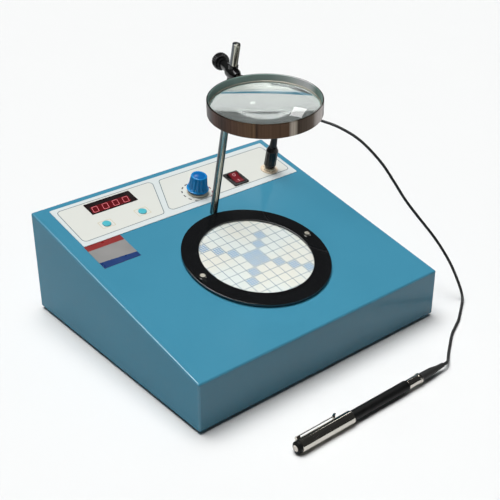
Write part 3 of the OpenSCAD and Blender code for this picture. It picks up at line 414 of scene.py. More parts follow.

# %% [markdown]
# Every piece is finished in the same few steps: put in place, turned into a mesh at the origin, shaded
# smooth except across sharp edges, given its material, and told which body it rides on. Weighted normals
# keep a flat face flat beside its rounded edges. The cabinet is the first piece made so. A Solidify
# modifier gives its sheet the thickness.

# %% Finishing a piece, and the cabinet
def make_piece(name, bm, body, material, replaces=(), place=None, sharp=35, flat=True):
    """Turns a bmesh into a finished piece that rides on a CAD body."""
    if place is not None:
        bm.transform(place)
    mesh = bpy.data.meshes.new(name)
    bm.to_mesh(mesh)
    bm.free()
    mesh.shade_smooth()
    mesh.set_sharp_from_angle(angle=math.radians(sharp))
    mesh.materials.append(material)
    piece = bpy.data.objects.new(name, mesh)
    bpy.context.scene.collection.objects.link(piece)
    if flat:
        piece.modifiers.new("flat_faces_stay_flat", "WEIGHTED_NORMAL").keep_sharp = True
    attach(piece, body)
    if replaces:
        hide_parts(*replaces)
    return piece


sheet = 1.2
cabinet = make_piece(
    "cabinet_cover", cabinet_bm, "base", enamel, ["cabinet_shell"], flat=False
)
cabinet.data.materials.append(edge_enamel)
cabinet.data.materials.append(front_shade_enamel)
wall = cabinet.modifiers.new("sheet_thickness", "SOLIDIFY")
wall.thickness = sheet * mm
wall.offset = -1
cabinet.modifiers.new("flat_faces_stay_flat", "WEIGHTED_NORMAL").keep_sharp = True
print("cabinet", len(cabinet.data.polygons), "faces before its thickness")

# %% [markdown]
# **The panel's print.** Two rounded frames hold the counter's and the lamp's controls, pale squares stand
# round the buttons, and dashes run round the knob. Nodes could draw them, but such fine lines are crisper
# as shapes. Each is flat, as thick as a coat of ink, and just above the film. A line is a face inset by
# the line's width, with its middle taken out.

# %% Corners
def rectangle(left, low, right, high):
    """Corners of a rectangle, anticlockwise."""
    return [(left, low), (right, low), (right, high), (left, high)]


def rounded(corners, radius, steps=6):
    """Points of a polygon with rounded corners, which are given anticlockwise."""
    points = []
    for i, corner in enumerate(corners):
        here = Vector(corner)
        back = (Vector(corners[i - 1]) - here).normalized()
        ahead = (Vector(corners[(i + 1) % len(corners)]) - here).normalized()
        half = back.angle(ahead) / 2
        middle = here + (back + ahead).normalized() * radius / math.sin(half)
        arm = here + back * radius / math.tan(half) - middle
        for step in range(steps + 1):
            turn = (math.pi - 2 * half) * step / steps
            points.append(
                (middle.x + arm.x * math.cos(turn) - arm.y * math.sin(turn),
                 middle.y + arm.x * math.sin(turn) + arm.y * math.cos(turn))
            )
    return points


print("a rectangle with rounded corners has", len(rounded(rectangle(0, 0, 20, 10), 2)), "points")

# %% Ink
ink_coat = 0.015
field_height = 0.02
ink_height = 0.04
on_film = on_slope(0, 0, panel_top + field_height)
on_field = on_slope(0, 0, panel_top + ink_height)


def patch(bm, points):
    """A flat face through points in millimetres."""
    face = bm.faces.new([bm.verts.new((x * mm, y * mm, 0)) for x, y in points])
    face.normal_update()
    return face


def outline(bm, points, line):
    """A closed line of the given width along the inside of a flat face's edge."""
    face = patch(bm, points)
    bmesh.ops.inset_individual(bm, faces=[face], thickness=line * mm, use_even_offset=True)
    bmesh.ops.delete(bm, geom=[face], context="FACES")


def make_print(name, bm, body, material, place):
    """A piece from flat faces, with the thickness of a coat of ink."""
    bmesh.ops.solidify(bm, geom=bm.faces[:], thickness=ink_coat * mm)
    bmesh.ops.recalc_face_normals(bm, faces=bm.faces)
    return make_piece(name, bm, body, material, (), place)


print("lines lie", ink_height, "mm above the film")

# %% Frames and fields
frame_line = 0.8
frame_corner = 5
counter_frame = rounded([(-134.5, 217), (-35, 218), (-12.6, 274), (-133, 274)], frame_corner)
lamp_frame = rounded([(-28.4, 219), (142.5, 219), (142.5, 272), (-5.7, 272)], frame_corner)
fields_bm = bmesh.new()
frames_bm = bmesh.new()
for points in (counter_frame, lamp_frame):
    patch(fields_bm, points)
    outline(frames_bm, points, frame_line)
print("frames", len(frames_bm.faces), "faces")
make_print("panel_fields", fields_bm, "base", field_ink, on_film)
make_print("panel_frames", frames_bm, "base", line_ink, on_field)

# %% Squares round the buttons
square_line = 0.7
square_corner = 1.2
half_wide = 7.8
half_tall = 6
squares_bm = bmesh.new()
for x, y in (left_button, right_button):
    corners = rectangle(x - half_wide, y - half_tall, x + half_wide, y + half_tall)
    outline(squares_bm, rounded(corners, square_corner), square_line)
print("squares", len(squares_bm.faces), "faces")
make_print("button_squares", squares_bm, "base", buff_ink, on_field)

# %% Dashes round the knob
dash_radius = 17.6
dash_width = 1.4
dash_half = math.radians(6.5)
first_dash = 232  # degrees; the others follow clockwise
next_dash = 26
dash_count = 12
first_red = 9
dashes_bm = bmesh.new()
red_dashes_bm = bmesh.new()
for step in range(dash_count):
    middle = math.radians(first_dash - next_dash * step)
    turns = [middle - dash_half, middle, middle + dash_half]
    rim = [(dash_radius, turn) for turn in turns]
    rim += [(dash_radius - dash_width, turn) for turn in reversed(turns)]
    points = [(knob[0] + r * math.cos(turn), knob[1] + r * math.sin(turn)) for r, turn in rim]
    patch(red_dashes_bm if step >= first_red else dashes_bm, points)
print("dashes:", len(dashes_bm.faces), "dark and", len(red_dashes_bm.faces), "red")
make_print("dimmer_dashes", dashes_bm, "base", dark_ink, on_field)
make_print("dimmer_red_dashes", red_dashes_bm, "base", red_ink, on_field)

# %% [markdown]
# **The foil plate.** A thin plate of brushed foil is glued to the slope near its left edge. A flat face
# would show no edge, so it is a box, as thin as the foil, with its edges taken off so that they catch
# the light. A red and a blue band are printed along its upper and lower edge.

# %% Rounding edges, and the foil plate
def soften(bm, radius, segments=3, corner=30):
    """Rounds every edge that turns more sharply than the corner angle."""
    edges = [e for e in bm.edges if e.is_manifold and e.calc_face_angle(0) > math.radians(corner)]
    bmesh.ops.bevel(
        bm, geom=edges, offset=radius * mm, offset_type="OFFSET", segments=segments, profile=0.5,
        affect="EDGES", material=-1, clamp_overlap=True,
    )
    bmesh.ops.remove_doubles(bm, verts=bm.verts, dist=1e-6)
    bmesh.ops.recalc_face_normals(bm, faces=bm.faces)
    return bm


badge = (-117.3, 191.8)
badge_wide = 42.6
badge_tall = 38.0
badge_thick = 0.2
badge_bm = bmesh.new()
badge_size = Matrix.Diagonal((badge_wide * mm, badge_tall * mm, badge_thick * mm, 1))
bmesh.ops.create_cube(badge_bm, size=1.0, matrix=badge_size)
soften(badge_bm, radius=0.08, segments=1)
make_piece("foil_badge", badge_bm, "base", foil, (), on_slope(*badge, badge_thick / 2))
print("foil plate", badge_wide, "x", badge_tall, "mm")

# %% Bands on the foil plate
band_margin = 0.1
red_tall = 8
blue_tall_left = 9.5
blue_tall_right = 7
band_end = badge_wide / 2 - band_margin
band_edge = badge_tall / 2 - band_margin
band_height = 0.03
on_badge = on_slope(*badge, badge_thick + band_height)
red_band_bm = bmesh.new()
patch(red_band_bm, rectangle(-band_end, band_edge - red_tall, band_end, band_edge))
make_print("badge_red_band", red_band_bm, "base", red_ink, on_badge)
blue_band_bm = bmesh.new()
blue_band = [(-band_end, -band_edge), (band_end, -band_edge)]
blue_band += [(band_end, blue_tall_right - band_edge), (-band_end, blue_tall_left - band_edge)]
patch(blue_band_bm, blue_band)
make_print("badge_blue_band", blue_band_bm, "base", navy_ink, on_badge)
print("two bands,", 2 * band_end, "mm long")

# %% [markdown]
# **The read-out.** Four seven-segment figures show noughts behind a dark red filter. The light could come
# from lamps behind a clear filter, but that is slow and noisy at this size, so the segments glow
# themselves. Each lit segment is a slim six-sided bar. The red light spreads a little in the filter, so
# the figures stand on a dim red patch.

# %% Finishes of the read-out
filter_plastic = finish(
    "dark_red_filter", ("#170C0D", "#1E1011"), 15, 0.8, 0.002, (0.16, 0.26), plastic
)
glow_sockets = {"Emission Color": srgb("#E0707A"), "Emission Strength": 0.55}
glow = finish("lit_red_segment", ("#A04A50", "#AA5258"), 3, 0.5, 0.002, (0.35, 0.45), glow_sockets)
spread_sockets = {"IOR": 1.25, "Emission Color": srgb("#7A1218"), "Emission Strength": 0.12}
spread = finish(
    "red_light_in_filter", ("#4A0C11", "#561015"), 3, 0.5, 0.002, (0.2, 0.28), spread_sockets
)
print("finishes", filter_plastic.name, glow.name, spread.name)

# %% Segments
segment_thick = 0.66
segment_gap = 0.2
figure_wide = 6.2
figure_tall = 8.6
figure_step = 12.5
figure_lean = math.tan(math.radians(13))


def segment(bm, x, y, length, upright):
    """One six-sided bar of a figure, centred at x, y and leaning with the figure."""
    half = length / 2
    thick = segment_thick / 2
    bar = [(-half, 0), (-half + thick, -thick), (half - thick, -thick), (half, 0),
           (half - thick, thick), (-half + thick, thick)]
    if upright:
        bar = [(-v, u) for u, v in bar]
    patch(bm, [(x + u + (y + v) * figure_lean, y + v) for u, v in bar])


lit_bm = bmesh.new()
for figure in range(4):
    middle = (figure - 1.5) * figure_step
    for y in (-figure_tall / 2, figure_tall / 2):
        segment(lit_bm, middle, y, figure_wide - segment_gap, False)
    for x in (-figure_wide / 2, figure_wide / 2):
        for y in (-figure_tall / 4, figure_tall / 4):
            segment(lit_bm, middle + x, y, figure_tall / 2 - segment_gap, True)
print("lit segments", len(lit_bm.faces))

# %% Read-out
window_top = 0.9
figures = (window[0] - 1.85, window[1] - 2.65)
spread_half_wide = 3.8 * figure_step / 2
spread_half_tall = figure_tall / 2 + 1.2
spread_corner = 2
corners = rectangle(-spread_half_wide, -spread_half_tall, spread_half_wide, spread_half_tall)
leaning = [(u + v * figure_lean, v) for u, v in corners]
spread_bm = bmesh.new()
patch(spread_bm, rounded(leaning, spread_corner))
on_window = on_slope(*figures, window_top + field_height)
on_spread = on_slope(*figures, window_top + ink_height)
make_print("lit_figures", lit_bm, "base", glow, on_spread)
make_print("figure_glow", spread_bm, "base", spread, on_window)
print("read-out of four figures,", figure_tall, "mm tall")

# %% [markdown]
# ** The rocker.** It is clear red plastic, and looks nearly black towards its two sides, where one sees
# into the dark, shaded inside of the switch. Clear plastic with a dark switch behind it could show that;
# here a darker tone by the distance from its middle line is painted shade, and is quicker. The CAD node
# keeps its shape.

# %% Rocker's finish
clear_to = 4.5
dark_from = 6.5
red_poly, red_shader = plain_finish("red_polycarbonate", "#6A0D19", {"Roughness": 0.28, "IOR": 1.45})
red_place = add_node(red_poly, "ShaderNodeTexCoord", {}).outputs["Object"]
red_local = add_node(
    red_poly,
    "ShaderNodeMapping",
    {"Vector": red_place, "Location": on_slope(*switch).translation, "Rotation": (slope, 0, 0)},
    vector_type="TEXTURE",
)
red_axes = add_node(red_poly, "ShaderNodeSeparateXYZ", {"Vector": red_local.outputs["Vector"]})
red_side = add_node(red_poly, "ShaderNodeMath", {0: red_axes.outputs["X"]}, operation="ABSOLUTE")
side_shade_share = add_node(
    red_poly,
    "ShaderNodeMapRange",
    {"Value": red_side.outputs[0], "From Min": clear_to * mm, "From Max": dark_from * mm},
)
# Painted shade: darker towards the rocker's two sides, for the dark, shaded inside of the switch.
red_and_painted_shade = add_node(
    red_poly,
    "ShaderNodeMix",
    {0: side_shade_share.outputs["Result"], 6: srgb("#6E0D1A"), 7: srgb("#1E0507")},
    data_type="RGBA",
)
red_poly.node_tree.links.new(red_and_painted_shade.outputs[2], red_shader.inputs["Base Color"])
print("finish", red_poly.name)

# %% [markdown]
# A ring stands on the rocker's rear half and a short bar on its front half. They lie on its two faces,
# which slope down to the middle, and tip with it.

# %% Marks on the rocker
rocker_depth = -1.5
rocker_middle = 3.6
rocker_half = 9.25
rocker_rise = 1.6
mark_out = 4.6
mark_line = 0.7
rocker_tip = math.radians(9)
mark_height = rocker_middle + mark_out * rocker_rise / rocker_half + ink_height
on_rocker = on_slope(*switch, rocker_depth) @ Matrix.Rotation(rocker_tip, 4, "X")
ring_mark_bm = bmesh.new()
outline(ring_mark_bm, rounded(rectangle(-2, -2, 2, 2), 1.8), mark_line)
bar_mark_bm = bmesh.new()
patch(bar_mark_bm, rectangle(-0.4, -1.8, 0.4, 1.8))
for name, mark_bm, side in (("rocker_ring", ring_mark_bm, 1), ("rocker_bar", bar_mark_bm, -1)):
    spot = Matrix.Translation((0, side * mark_out * mm, mark_height * mm))
    lean = Matrix.Rotation(side * math.atan2(rocker_rise, rocker_half), 4, "X")
    make_print(name, mark_bm, "rocker", mark_ink, on_rocker @ spot @ lean)
print("two marks on the rocker")

# %% [markdown]
# ** Buttons and knob.** All are round, as if made on a lathe, so they are spun from a profile of radius
# and height. A cylinder with loop cuts would get there too, but a profile is read like a drawing. The
# knob's ribs come from pulling its wall in between them, after the spin. Its top has a shallow disc let
# in, whose darker blue is painted shade.

# %% Turning, and the buttons
def turned(profile, steps=96):
    """Spins a profile of (radius, height) points in millimetres round the z axis."""
    bm = bmesh.new()
    verts = [bm.verts.new((r * mm, 0, z * mm)) for r, z in profile]
    edges = [bm.edges.new(pair) for pair in zip(verts, verts[1:])]
    bmesh.ops.spin(
        bm, geom=verts + edges, cent=(0, 0, 0), axis=(0, 0, 1), angle=math.tau, steps=steps,
        use_merge=True,
    )
    bmesh.ops.remove_doubles(bm, verts=bm.verts, dist=1e-7)
    bmesh.ops.recalc_face_normals(bm, faces=bm.faces)
    return bm


button_profile = [
    (0, -5.5), (2, -5.5), (2, -2.5), (5.6, -2.5), (5.6, -1.5), (4.6, -1.5), (4.6, 1.5), (0, 1.5),
]
for name, node, body, place in (
    ("left_press_button", "left_button", "button_one", left_button),
    ("right_press_button", "right_button", "button_two", right_button),
):
    press_bm = soften(turned(button_profile, steps=64), radius=0.5)
    make_piece(name, press_bm, body, pale_abs, [node], on_slope(*place))
print("two buttons turned")

# %% Profile of the knob
knob_height = 17.5
skirt_radius = 12.25
waist_radius = 10.55
waist_height = 4.5
wall_height = 11.2
top_radius = 9.05
top_edge = 1.8
skirt_curve = 3.5
inlay_inset = 2.3
inlay_height = knob_height - 0.4
knob_profile = [
    (0, 11.6), (3.1, 11.6), (3.1, 2.1), (6.5, 2.1), (6.5, 0),
    (skirt_radius - 0.3, 0), (skirt_radius, 0.3),
]
for step in range(7):
    angle = math.radians(15 * step)
    flare = (skirt_radius - waist_radius) * math.sin(angle)
    knob_profile.append((skirt_radius - flare, waist_height - skirt_curve * math.cos(angle)))
for step in range(1, 6):
    share = step / 6
    taper = (top_radius - waist_radius) * share
    knob_profile.append((waist_radius + taper, waist_height + wall_height * share))
for step in range(7):
    angle = math.radians(15 * step)
    edge_radius = top_radius - top_edge + top_edge * math.cos(angle)
    knob_profile.append((edge_radius, knob_height - top_edge + top_edge * math.sin(angle)))
knob_profile += [(top_radius - inlay_inset, inlay_height), (0, inlay_height)]
print("profile of the knob:", len(knob_profile), "points")

# %% Fluting, and the knob
def flute(bm, count, dip, low, high, bore=4):
    """Pulls the wall outside the bore in between count ribs, from low to high along the axis."""
    for vert in bm.verts:
        radius = math.hypot(vert.co.x, vert.co.y)
        if low * mm <= vert.co.z <= high * mm and radius > bore * mm:
            wave = 0.5 - 0.5 * math.cos(count * math.atan2(vert.co.y, vert.co.x))
            share = 1 - dip * mm * wave / radius
            vert.co.x *= share
            vert.co.y *= share
    return bm


knob_lift = 4.9
knob_bm = flute(turned(knob_profile, steps=168), count=14, dip=1.2, low=2.2, high=15.8)
# The flat top disc takes the darker blue of the painted shade.
for face in knob_bm.faces:
    high_up = face.calc_center_median().z > (inlay_height - 0.05) * mm
    face.material_index = int(high_up and face.normal.z > 0.99)
dimmer_knob = make_piece(
    "ribbed_dimmer_knob", knob_bm, "dimmer", blue_abs, ["dimmer_knob"],
    on_slope(*knob, knob_lift), sharp=50,
)
dimmer_knob.data.materials.append(inlay_blue_painted_shade)
print("knob", len(dimmer_knob.data.polygons), "faces")

# %% [markdown]
# **Washers.** A thick pale ring lies under the knob and a flat one round the socket. The CAD rings have
# hard edges, and turned ones with rounded edges catch the light as real ones do.

# %% Washers
pot_ring_profile = [(3.6, 0), (11.5, 0), (11.5, 2.4), (3.6, 2.4), (3.6, 0)]
pot_ring_bm = soften(turned(pot_ring_profile, steps=72), radius=0.3)
make_piece(
    "dimmer_washer", pot_ring_bm, "base", brass, ["pot_washer"],
    on_slope(*knob, panel_top),
)
socket_ring_profile = [(4.6, 0), (10, 0), (10, 0.8), (4.6, 0.8), (4.6, 0)]
socket_ring_bm = soften(turned(socket_ring_profile, steps=72), radius=0.2)
make_piece(
    "socket_washer", socket_ring_bm, "base", stained, ["jack_washer"],
    on_slope(*jack, panel_top),
)
print("two washers turned")

# %% [markdown]
# **The plug.** Its shell is a ribbed black moulding with a chamfered foot and a sloping shoulder, and a
# soft tapering sleeve keeps the lead from kinking. Both are turned, and the shell's shallow ribs are made
# as the knob's are.

# %% Plug
shell_profile = [
    (0, 0), (5.4, 0), (6.9, 3), (6.9, 4.5), (6.9, 5.5), (6.9, 9), (6.9, 13), (6.9, 17),
    (6.9, 20), (6.9, 21), (6.9, 22), (4.5, shell_length), (0, shell_length),
]
shell_bm = flute(turned(shell_profile, steps=144), count=12, dip=0.4, low=5, high=20.5)
soften(shell_bm, radius=0.4, corner=40)
make_piece(
    "plug_body", shell_bm, "probe", black_nylon, ["plug_shell"],
    on_slope(*jack, plug_foot),
)
sleeve_profile = [
    (0, 0), (4, 0), (4, 4), (2.75, sleeve_length), (1.7, sleeve_length), (1.7, 11), (0, 11),
]
sleeve_bm = soften(turned(sleeve_profile, steps=48), radius=0.3)
make_piece(
    "plug_sleeve", sleeve_bm, "probe", rubber, ["plug_boot"],
    on_slope(*jack, plug_foot + shell_length),
)
print("plug turned")

# %% [markdown]
# **The stage ring.** A polished black ring stands on the cabinet and holds the counting plate from above.
# It is turned, because its round edges are the only thing on it that catches the light, and many steps
# keep its long outline smooth.

# %% Stage ring
ring_profile = [(59, 1.6), (59, 3.5), (77, 3.5), (77, 0), (64.1, 0), (64.1, 1.6), (59, 1.6)]
ring_bm = soften(turned(ring_profile, steps=192), radius=0.45, segments=4)
stage_rim = make_piece(
    "stage_rim", ring_bm, "base", acrylic, ["stage_ring"], on_slope(*stage)
)
print("stage ring", len(stage_rim.data.polygons), "faces")

# %% [markdown]
# **The counting plate.** It is an opal plate printed with squares, a little off its centre. Along both
# diagonals some are finely ruled, and so is a block of four in the middle. The lines could be shapes, as
# on the panel, but there are hundreds, and the CAD plate is already right. Two brick patterns without
# offset draw the squares and the ruling. Four lines to a square are as fine as the picture can show.

# %% Squares and ruling
square = 11.0
print_middle = (stage[0] - 2.0, stage[1] - 2.0)
plate, plate_shader = plain_finish("printed_opal_plate", "#D0D3CB", {"Roughness": 0.45, "IOR": 1.4})
plate_place = add_node(plate, "ShaderNodeTexCoord", {}).outputs["Object"]
plate_grid = add_node(
    plate,
    "ShaderNodeMapping",
    {"Vector": plate_place, "Location": on_slope(*print_middle).translation, "Rotation": (slope, 0, 0),
     "Scale": (square * mm,) * 3},
    vector_type="TEXTURE",
).outputs["Vector"]
plain_bricks = {"Vector": plate_grid, "Brick Width": 1.0, "Row Height": 1.0, "Mortar Smooth": 0.1}
squares = add_node(
    plate, "ShaderNodeTexBrick", {**plain_bricks, "Scale": 1.0, "Mortar Size": 0.026}, offset=0.0
)
ruling = add_node(
    plate, "ShaderNodeTexBrick", {**plain_bricks, "Scale": 4.0, "Mortar Size": 0.14}, offset=0.0
)
print("plate with", square, "mm squares")

# %% [markdown]
# The number of each square, counted from the middle, says which ones are ruled: those with the same count
# along both sides, up to three from the middle on one diagonal and four on the other.

# %% Ruled squares
corner = add_node(plate, "ShaderNodeVectorMath", {0: plate_grid}, operation="FLOOR")
centre = add_node(
    plate, "ShaderNodeVectorMath", {0: corner.outputs[0], 1: (0.5, 0.5, 0.5)}, operation="ADD"
)
side = add_node(plate, "ShaderNodeSeparateXYZ", {"Vector": centre.outputs[0]})
steps_away = add_node(plate, "ShaderNodeVectorMath", {0: centre.outputs[0]}, operation="ABSOLUTE")
away = add_node(plate, "ShaderNodeSeparateXYZ", {"Vector": steps_away.outputs[0]})
on_diagonal = add_node(
    plate, "ShaderNodeMath", {0: away.outputs["X"], 1: away.outputs["Y"], 2: 0.1}, operation="COMPARE"
)
sign = add_node(
    plate, "ShaderNodeMath", {0: side.outputs["X"], 1: side.outputs["Y"]}, operation="MULTIPLY"
)
falling = add_node(plate, "ShaderNodeMath", {0: sign.outputs[0], 1: 0.0}, operation="LESS_THAN")
reach = add_node(plate, "ShaderNodeMath", {0: falling.outputs[0], 1: 3.0}, operation="ADD")
near = add_node(
    plate, "ShaderNodeMath", {0: away.outputs["X"], 1: reach.outputs[0]}, operation="LESS_THAN"
)
chosen = add_node(
    plate, "ShaderNodeMath", {0: on_diagonal.outputs[0], 1: near.outputs[0]}, operation="MULTIPLY"
)
ruled = add_node(
    plate, "ShaderNodeMath", {0: chosen.outputs[0], 1: ruling.outputs["Fac"]}, operation="MULTIPLY"
)
print("ruled squares chosen by", len(plate.node_tree.nodes), "nodes so far")

# %% [markdown]
# The plate has yellowed a little, in patches a few squares wide. On that lie the blue ruling and the grey
# lines of the squares.

# %% Colours of the plate
ageing_wide = 5  # squares
ageing = add_node(
    plate, "ShaderNodeTexNoise", {"Vector": plate_grid, "Scale": 1 / ageing_wide, "Detail": 1.0}
)
aged = add_node(
    plate, "ShaderNodeMapRange", {"Value": ageing.outputs["Fac"], "From Min": 0.4, "From Max": 0.6}
)
opal = add_node(
    plate,
    "ShaderNodeMix",
    {0: aged.outputs["Result"], 6: srgb("#CED4D0"), 7: srgb("#D3D2C8")},
    data_type="RGBA",
)
tint = add_node(
    plate, "ShaderNodeMix", {0: ruled.outputs[0], 6: opal.outputs[2], 7: srgb("#0E79B2")}, data_type="RGBA"
)
lined = add_node(
    plate,
    "ShaderNodeMix",
    {0: squares.outputs["Fac"], 6: tint.outputs[2], 7: srgb("#3E667C")},
    data_type="RGBA",
)
plate.node_tree.links.new(lined.outputs[2], plate_shader.inputs["Base Color"])
print("finish", plate.name)

# %% [markdown]
# **The magnifier.** The rod stands square to the slope. The clamp's boss crosses it, a thumbscrew holds it
# from behind, and a short stud carries the rim. These hang on two more matrices: one along the arm, and
# one for the lens, which is rolled a little about the arm.

# %% Magnifier's places
arm_height = 167.0
lens_reach = 76.5
arm_turn = Matrix.Rotation(math.radians(-16.5), 4, "Z") @ Matrix.Rotation(math.radians(83.5), 4, "X")
on_arm = on_slope(*rod, arm_height) @ arm_turn
lens_roll = Matrix.Rotation(math.radians(6), 4, "Z") @ Matrix.Rotation(math.radians(-90), 4, "X")
on_lens = on_arm @ Matrix.Translation((0, 0, lens_reach * mm)) @ lens_roll
print("lens centre", [round(v, 4) for v in on_lens.translation])

# %% [markdown]
# ** The rod.** It is bar that was drawn through a die and plated. Its colour holds painted reflections,
# brighter and duller strips along it. A stretched noise would lay them anywhere; here the angle round the
# rod's axis sets each one's place and width.

# %% Rod's finish
drawn, drawn_shader = plain_finish("plated_bar_with_painted_reflections", "#B4B6B3", {"Metallic": 0.8, "Roughness": 0.16})
drawn_place = add_node(drawn, "ShaderNodeTexCoord", {}).outputs["Object"]
drawn_local = add_node(
    drawn,
    "ShaderNodeMapping",
    {"Vector": drawn_place, "Location": on_slope(*rod).translation, "Rotation": (slope, 0, 0)},
    vector_type="TEXTURE",
)
drawn_axes = add_node(drawn, "ShaderNodeSeparateXYZ", {"Vector": drawn_local.outputs["Vector"]})
drawn_angle = add_node(
    drawn, "ShaderNodeMath", {0: drawn_axes.outputs["Y"], 1: drawn_axes.outputs["X"]}, operation="ARCTAN2"
)
drawn_share = add_node(
    drawn,
    "ShaderNodeMapRange",
    {"Value": drawn_angle.outputs[0], "From Min": -math.pi, "From Max": math.pi},
)
painted_reflection_ramp = add_node(drawn, "ShaderNodeValToRGB", {"Fac": drawn_share.outputs["Result"]})
painted_reflection_ramp.color_ramp.elements[0].color = srgb("#61666A")
painted_reflection_ramp.color_ramp.elements[1].color = srgb("#61666A")
# Painted reflections: angles round the rod, in degrees, and the colour there.
for degrees, colour in (
    (-165, "#6A7072"), (-158, "#41443F"), (-150, "#C9C7BA"), (-122, "#D6D4C8"), (-115, "#86857A"),
    (-100, "#9C9A8C"), (-85, "#3A3B34"), (-50, "#2E2F29"), (-30, "#7A7B72"), (140, "#565C60"),
):
    painted_reflection_ramp.color_ramp.elements.new((degrees + 180) / 360).color = srgb(colour)
drawn.node_tree.links.new(painted_reflection_ramp.outputs["Color"], drawn_shader.inputs["Base Color"])
print("finish", drawn.name, "with", len(painted_reflection_ramp.color_ramp.elements), "tones")

# %% Rod
rod_profile = [(0, -16), (3, -16), (3, 0), (4, 0), (4, 60), (4, 130), (4, 198), (0, 198)]
rod_bm = soften(turned(rod_profile, steps=96), radius=0.8)
make_piece("bright_rod", rod_bm, "base", drawn, ["stand_rod"], on_slope(*rod))
print("rod", rod_profile[-1][1], "mm tall above the slope")

# %% [markdown]
# **Clamp and thumbscrew.** The boss, the stud and the screw are turned shapes on the arm's axis. The
# thumbscrew's knurling is made like the knob's ribs, only finer, so that its outline shows it.

# %% Clamp and thumbscrew
boss_profile = [
    (0, -22), (4.5, -22), (4.5, -8.5), (5.5, -6.5), (6.5, -5), (6.5, 5.5), (4.2, 12), (0, 12),
]
boss_bm = soften(turned(boss_profile, steps=72), radius=0.4, segments=2)
make_piece("clamp_boss", boss_bm, "magnifier", black_nylon, ["lens_arm"], on_arm)
stud_profile = [(0, 6.8), (3, 6.8), (3, 23.7), (0, 23.7)]
stud_bm = soften(turned(stud_profile, steps=48), radius=0.3, segments=2)
make_piece("rim_stud", stud_bm, "magnifier", chrome, ["arm_stud"], on_arm)
screw_profile = [
    (0, -34.3), (7.5, -34.3), (8.3, -33.9), (8.5, -33.3), (8.5, -31), (8.5, -29), (8.5, -27.3),
    (8.3, -26.7), (7.5, -26.3), (5.75, -26.3), (5.75, -22.3), (2.5, -22.3), (2.5, -5.1), (0, -5.1),
]
screw_bm = flute(turned(screw_profile, steps=144), count=24, dip=0.7, low=-34, high=-26.6)
make_piece(
    "knurled_thumbscrew", screw_bm, "clamp_screw", black_nylon, ["thumbscrew"], on_arm
)
print("boss, stud and thumbscrew turned")

# %% [markdown]
# ** The rim.** It is a plain turned band. Outside, its colour is painted reflection: dark brown, in upright
# streaks, with two painted highlights. Inside it is lacquered pale green, with painted light and shade
# round it and one painted highlight. Two materials could be given to the two sides, but one that knows its
# place is simpler: the angle round the lens lays out the streaks, and the distance from its axis tells the
# outside from the inside.

# %% Places round the rim
rim_metal, rim_shader = plain_finish("rim_metal_with_painted_light", "#5C483E", {"Metallic": 1.0, "Roughness": 0.38})
rim_place = add_node(rim_metal, "ShaderNodeTexCoord", {}).outputs["Object"]
rim_local = add_node(
    rim_metal,
    "ShaderNodeMapping",
    {"Vector": rim_place, "Location": on_lens.translation, "Rotation": on_lens.to_euler()},
    vector_type="TEXTURE",
).outputs["Vector"]
rim_axes = add_node(rim_metal, "ShaderNodeSeparateXYZ", {"Vector": rim_local})
rim_angle = add_node(
    rim_metal, "ShaderNodeMath", {0: rim_axes.outputs["Y"], 1: rim_axes.outputs["X"]}, operation="ARCTAN2"
)
rim_share = add_node(
    rim_metal,
    "ShaderNodeMapRange",
    {"Value": rim_angle.outputs[0], "From Min": -math.pi, "From Max": math.pi},
)
rim_middle = 51.75
rim_flat = add_node(rim_metal, "ShaderNodeVectorMath", {0: rim_local, 1: (1, 1, 0)}, operation="MULTIPLY")
rim_radius = add_node(rim_metal, "ShaderNodeVectorMath", {0: rim_flat.outputs[0]}, operation="LENGTH")
is_outside = add_node(
    rim_metal,
    "ShaderNodeMath",
    {0: rim_radius.outputs["Value"], 1: rim_middle * mm},
    operation="GREATER_THAN",
)
print("outside and inside part at a radius of", rim_middle, "mm")

# %% Rim's outside
streaks_per_radian = 26.0  # about 2 mm each
rim_painted_reflections = add_node(rim_metal, "ShaderNodeValToRGB", {"Fac": rim_share.outputs["Result"]})
rim_painted_reflections.color_ramp.elements[0].color = srgb("#2E2624")
rim_painted_reflections.color_ramp.elements[1].color = srgb("#2E2624")
# Painted reflections outside: angles round the lens, in degrees, and the colour there; the two light
# places are painted highlights.
for degrees, colour in (
    (-172, "#4A342C"), (-160, "#3A302C"), (-148, "#4C3B32"), (-124, "#574535"), (-122, "#2E2622"),
    (-120, "#4E3D31"), (-91, "#4A3A2E"), (-89, "#989086"), (-84, "#8E867B"), (-82, "#3A322B"),
    (-62, "#4A3F36"), (-56, "#8F8884"), (-41, "#A8A09D"), (-38, "#3A322D"),
):
    rim_painted_reflections.color_ramp.elements.new((degrees + 180) / 360).color = srgb(colour)
rim_streaks = add_node(
    rim_metal,
    "ShaderNodeTexNoise",
    {"W": rim_angle.outputs[0], "Scale": streaks_per_radian, "Detail": 5.0},
    noise_dimensions="1D",
)
rim_tone = add_node(
    rim_metal,
    "ShaderNodeMapRange",
    {"Value": rim_streaks.outputs["Fac"], "From Min": 0.25, "From Max": 0.75,
     "To Min": 0.75, "To Max": 1.25},
)
rim_outside = add_node(
    rim_metal,
    "ShaderNodeVectorMath",
    {0: rim_painted_reflections.outputs["Color"], "Scale": rim_tone.outputs["Result"]},
    operation="SCALE",
)
print("painted reflections outside, in", len(rim_painted_reflections.color_ramp.elements), "tones")

# %% Rim's inside, and both together
rim_inside_painted_light = add_node(rim_metal, "ShaderNodeValToRGB", {"Fac": rim_share.outputs["Result"]})
rim_inside_painted_light.color_ramp.elements[0].color = srgb("#6F8F86")
rim_inside_painted_light.color_ramp.elements[1].color = srgb("#6F8F86")
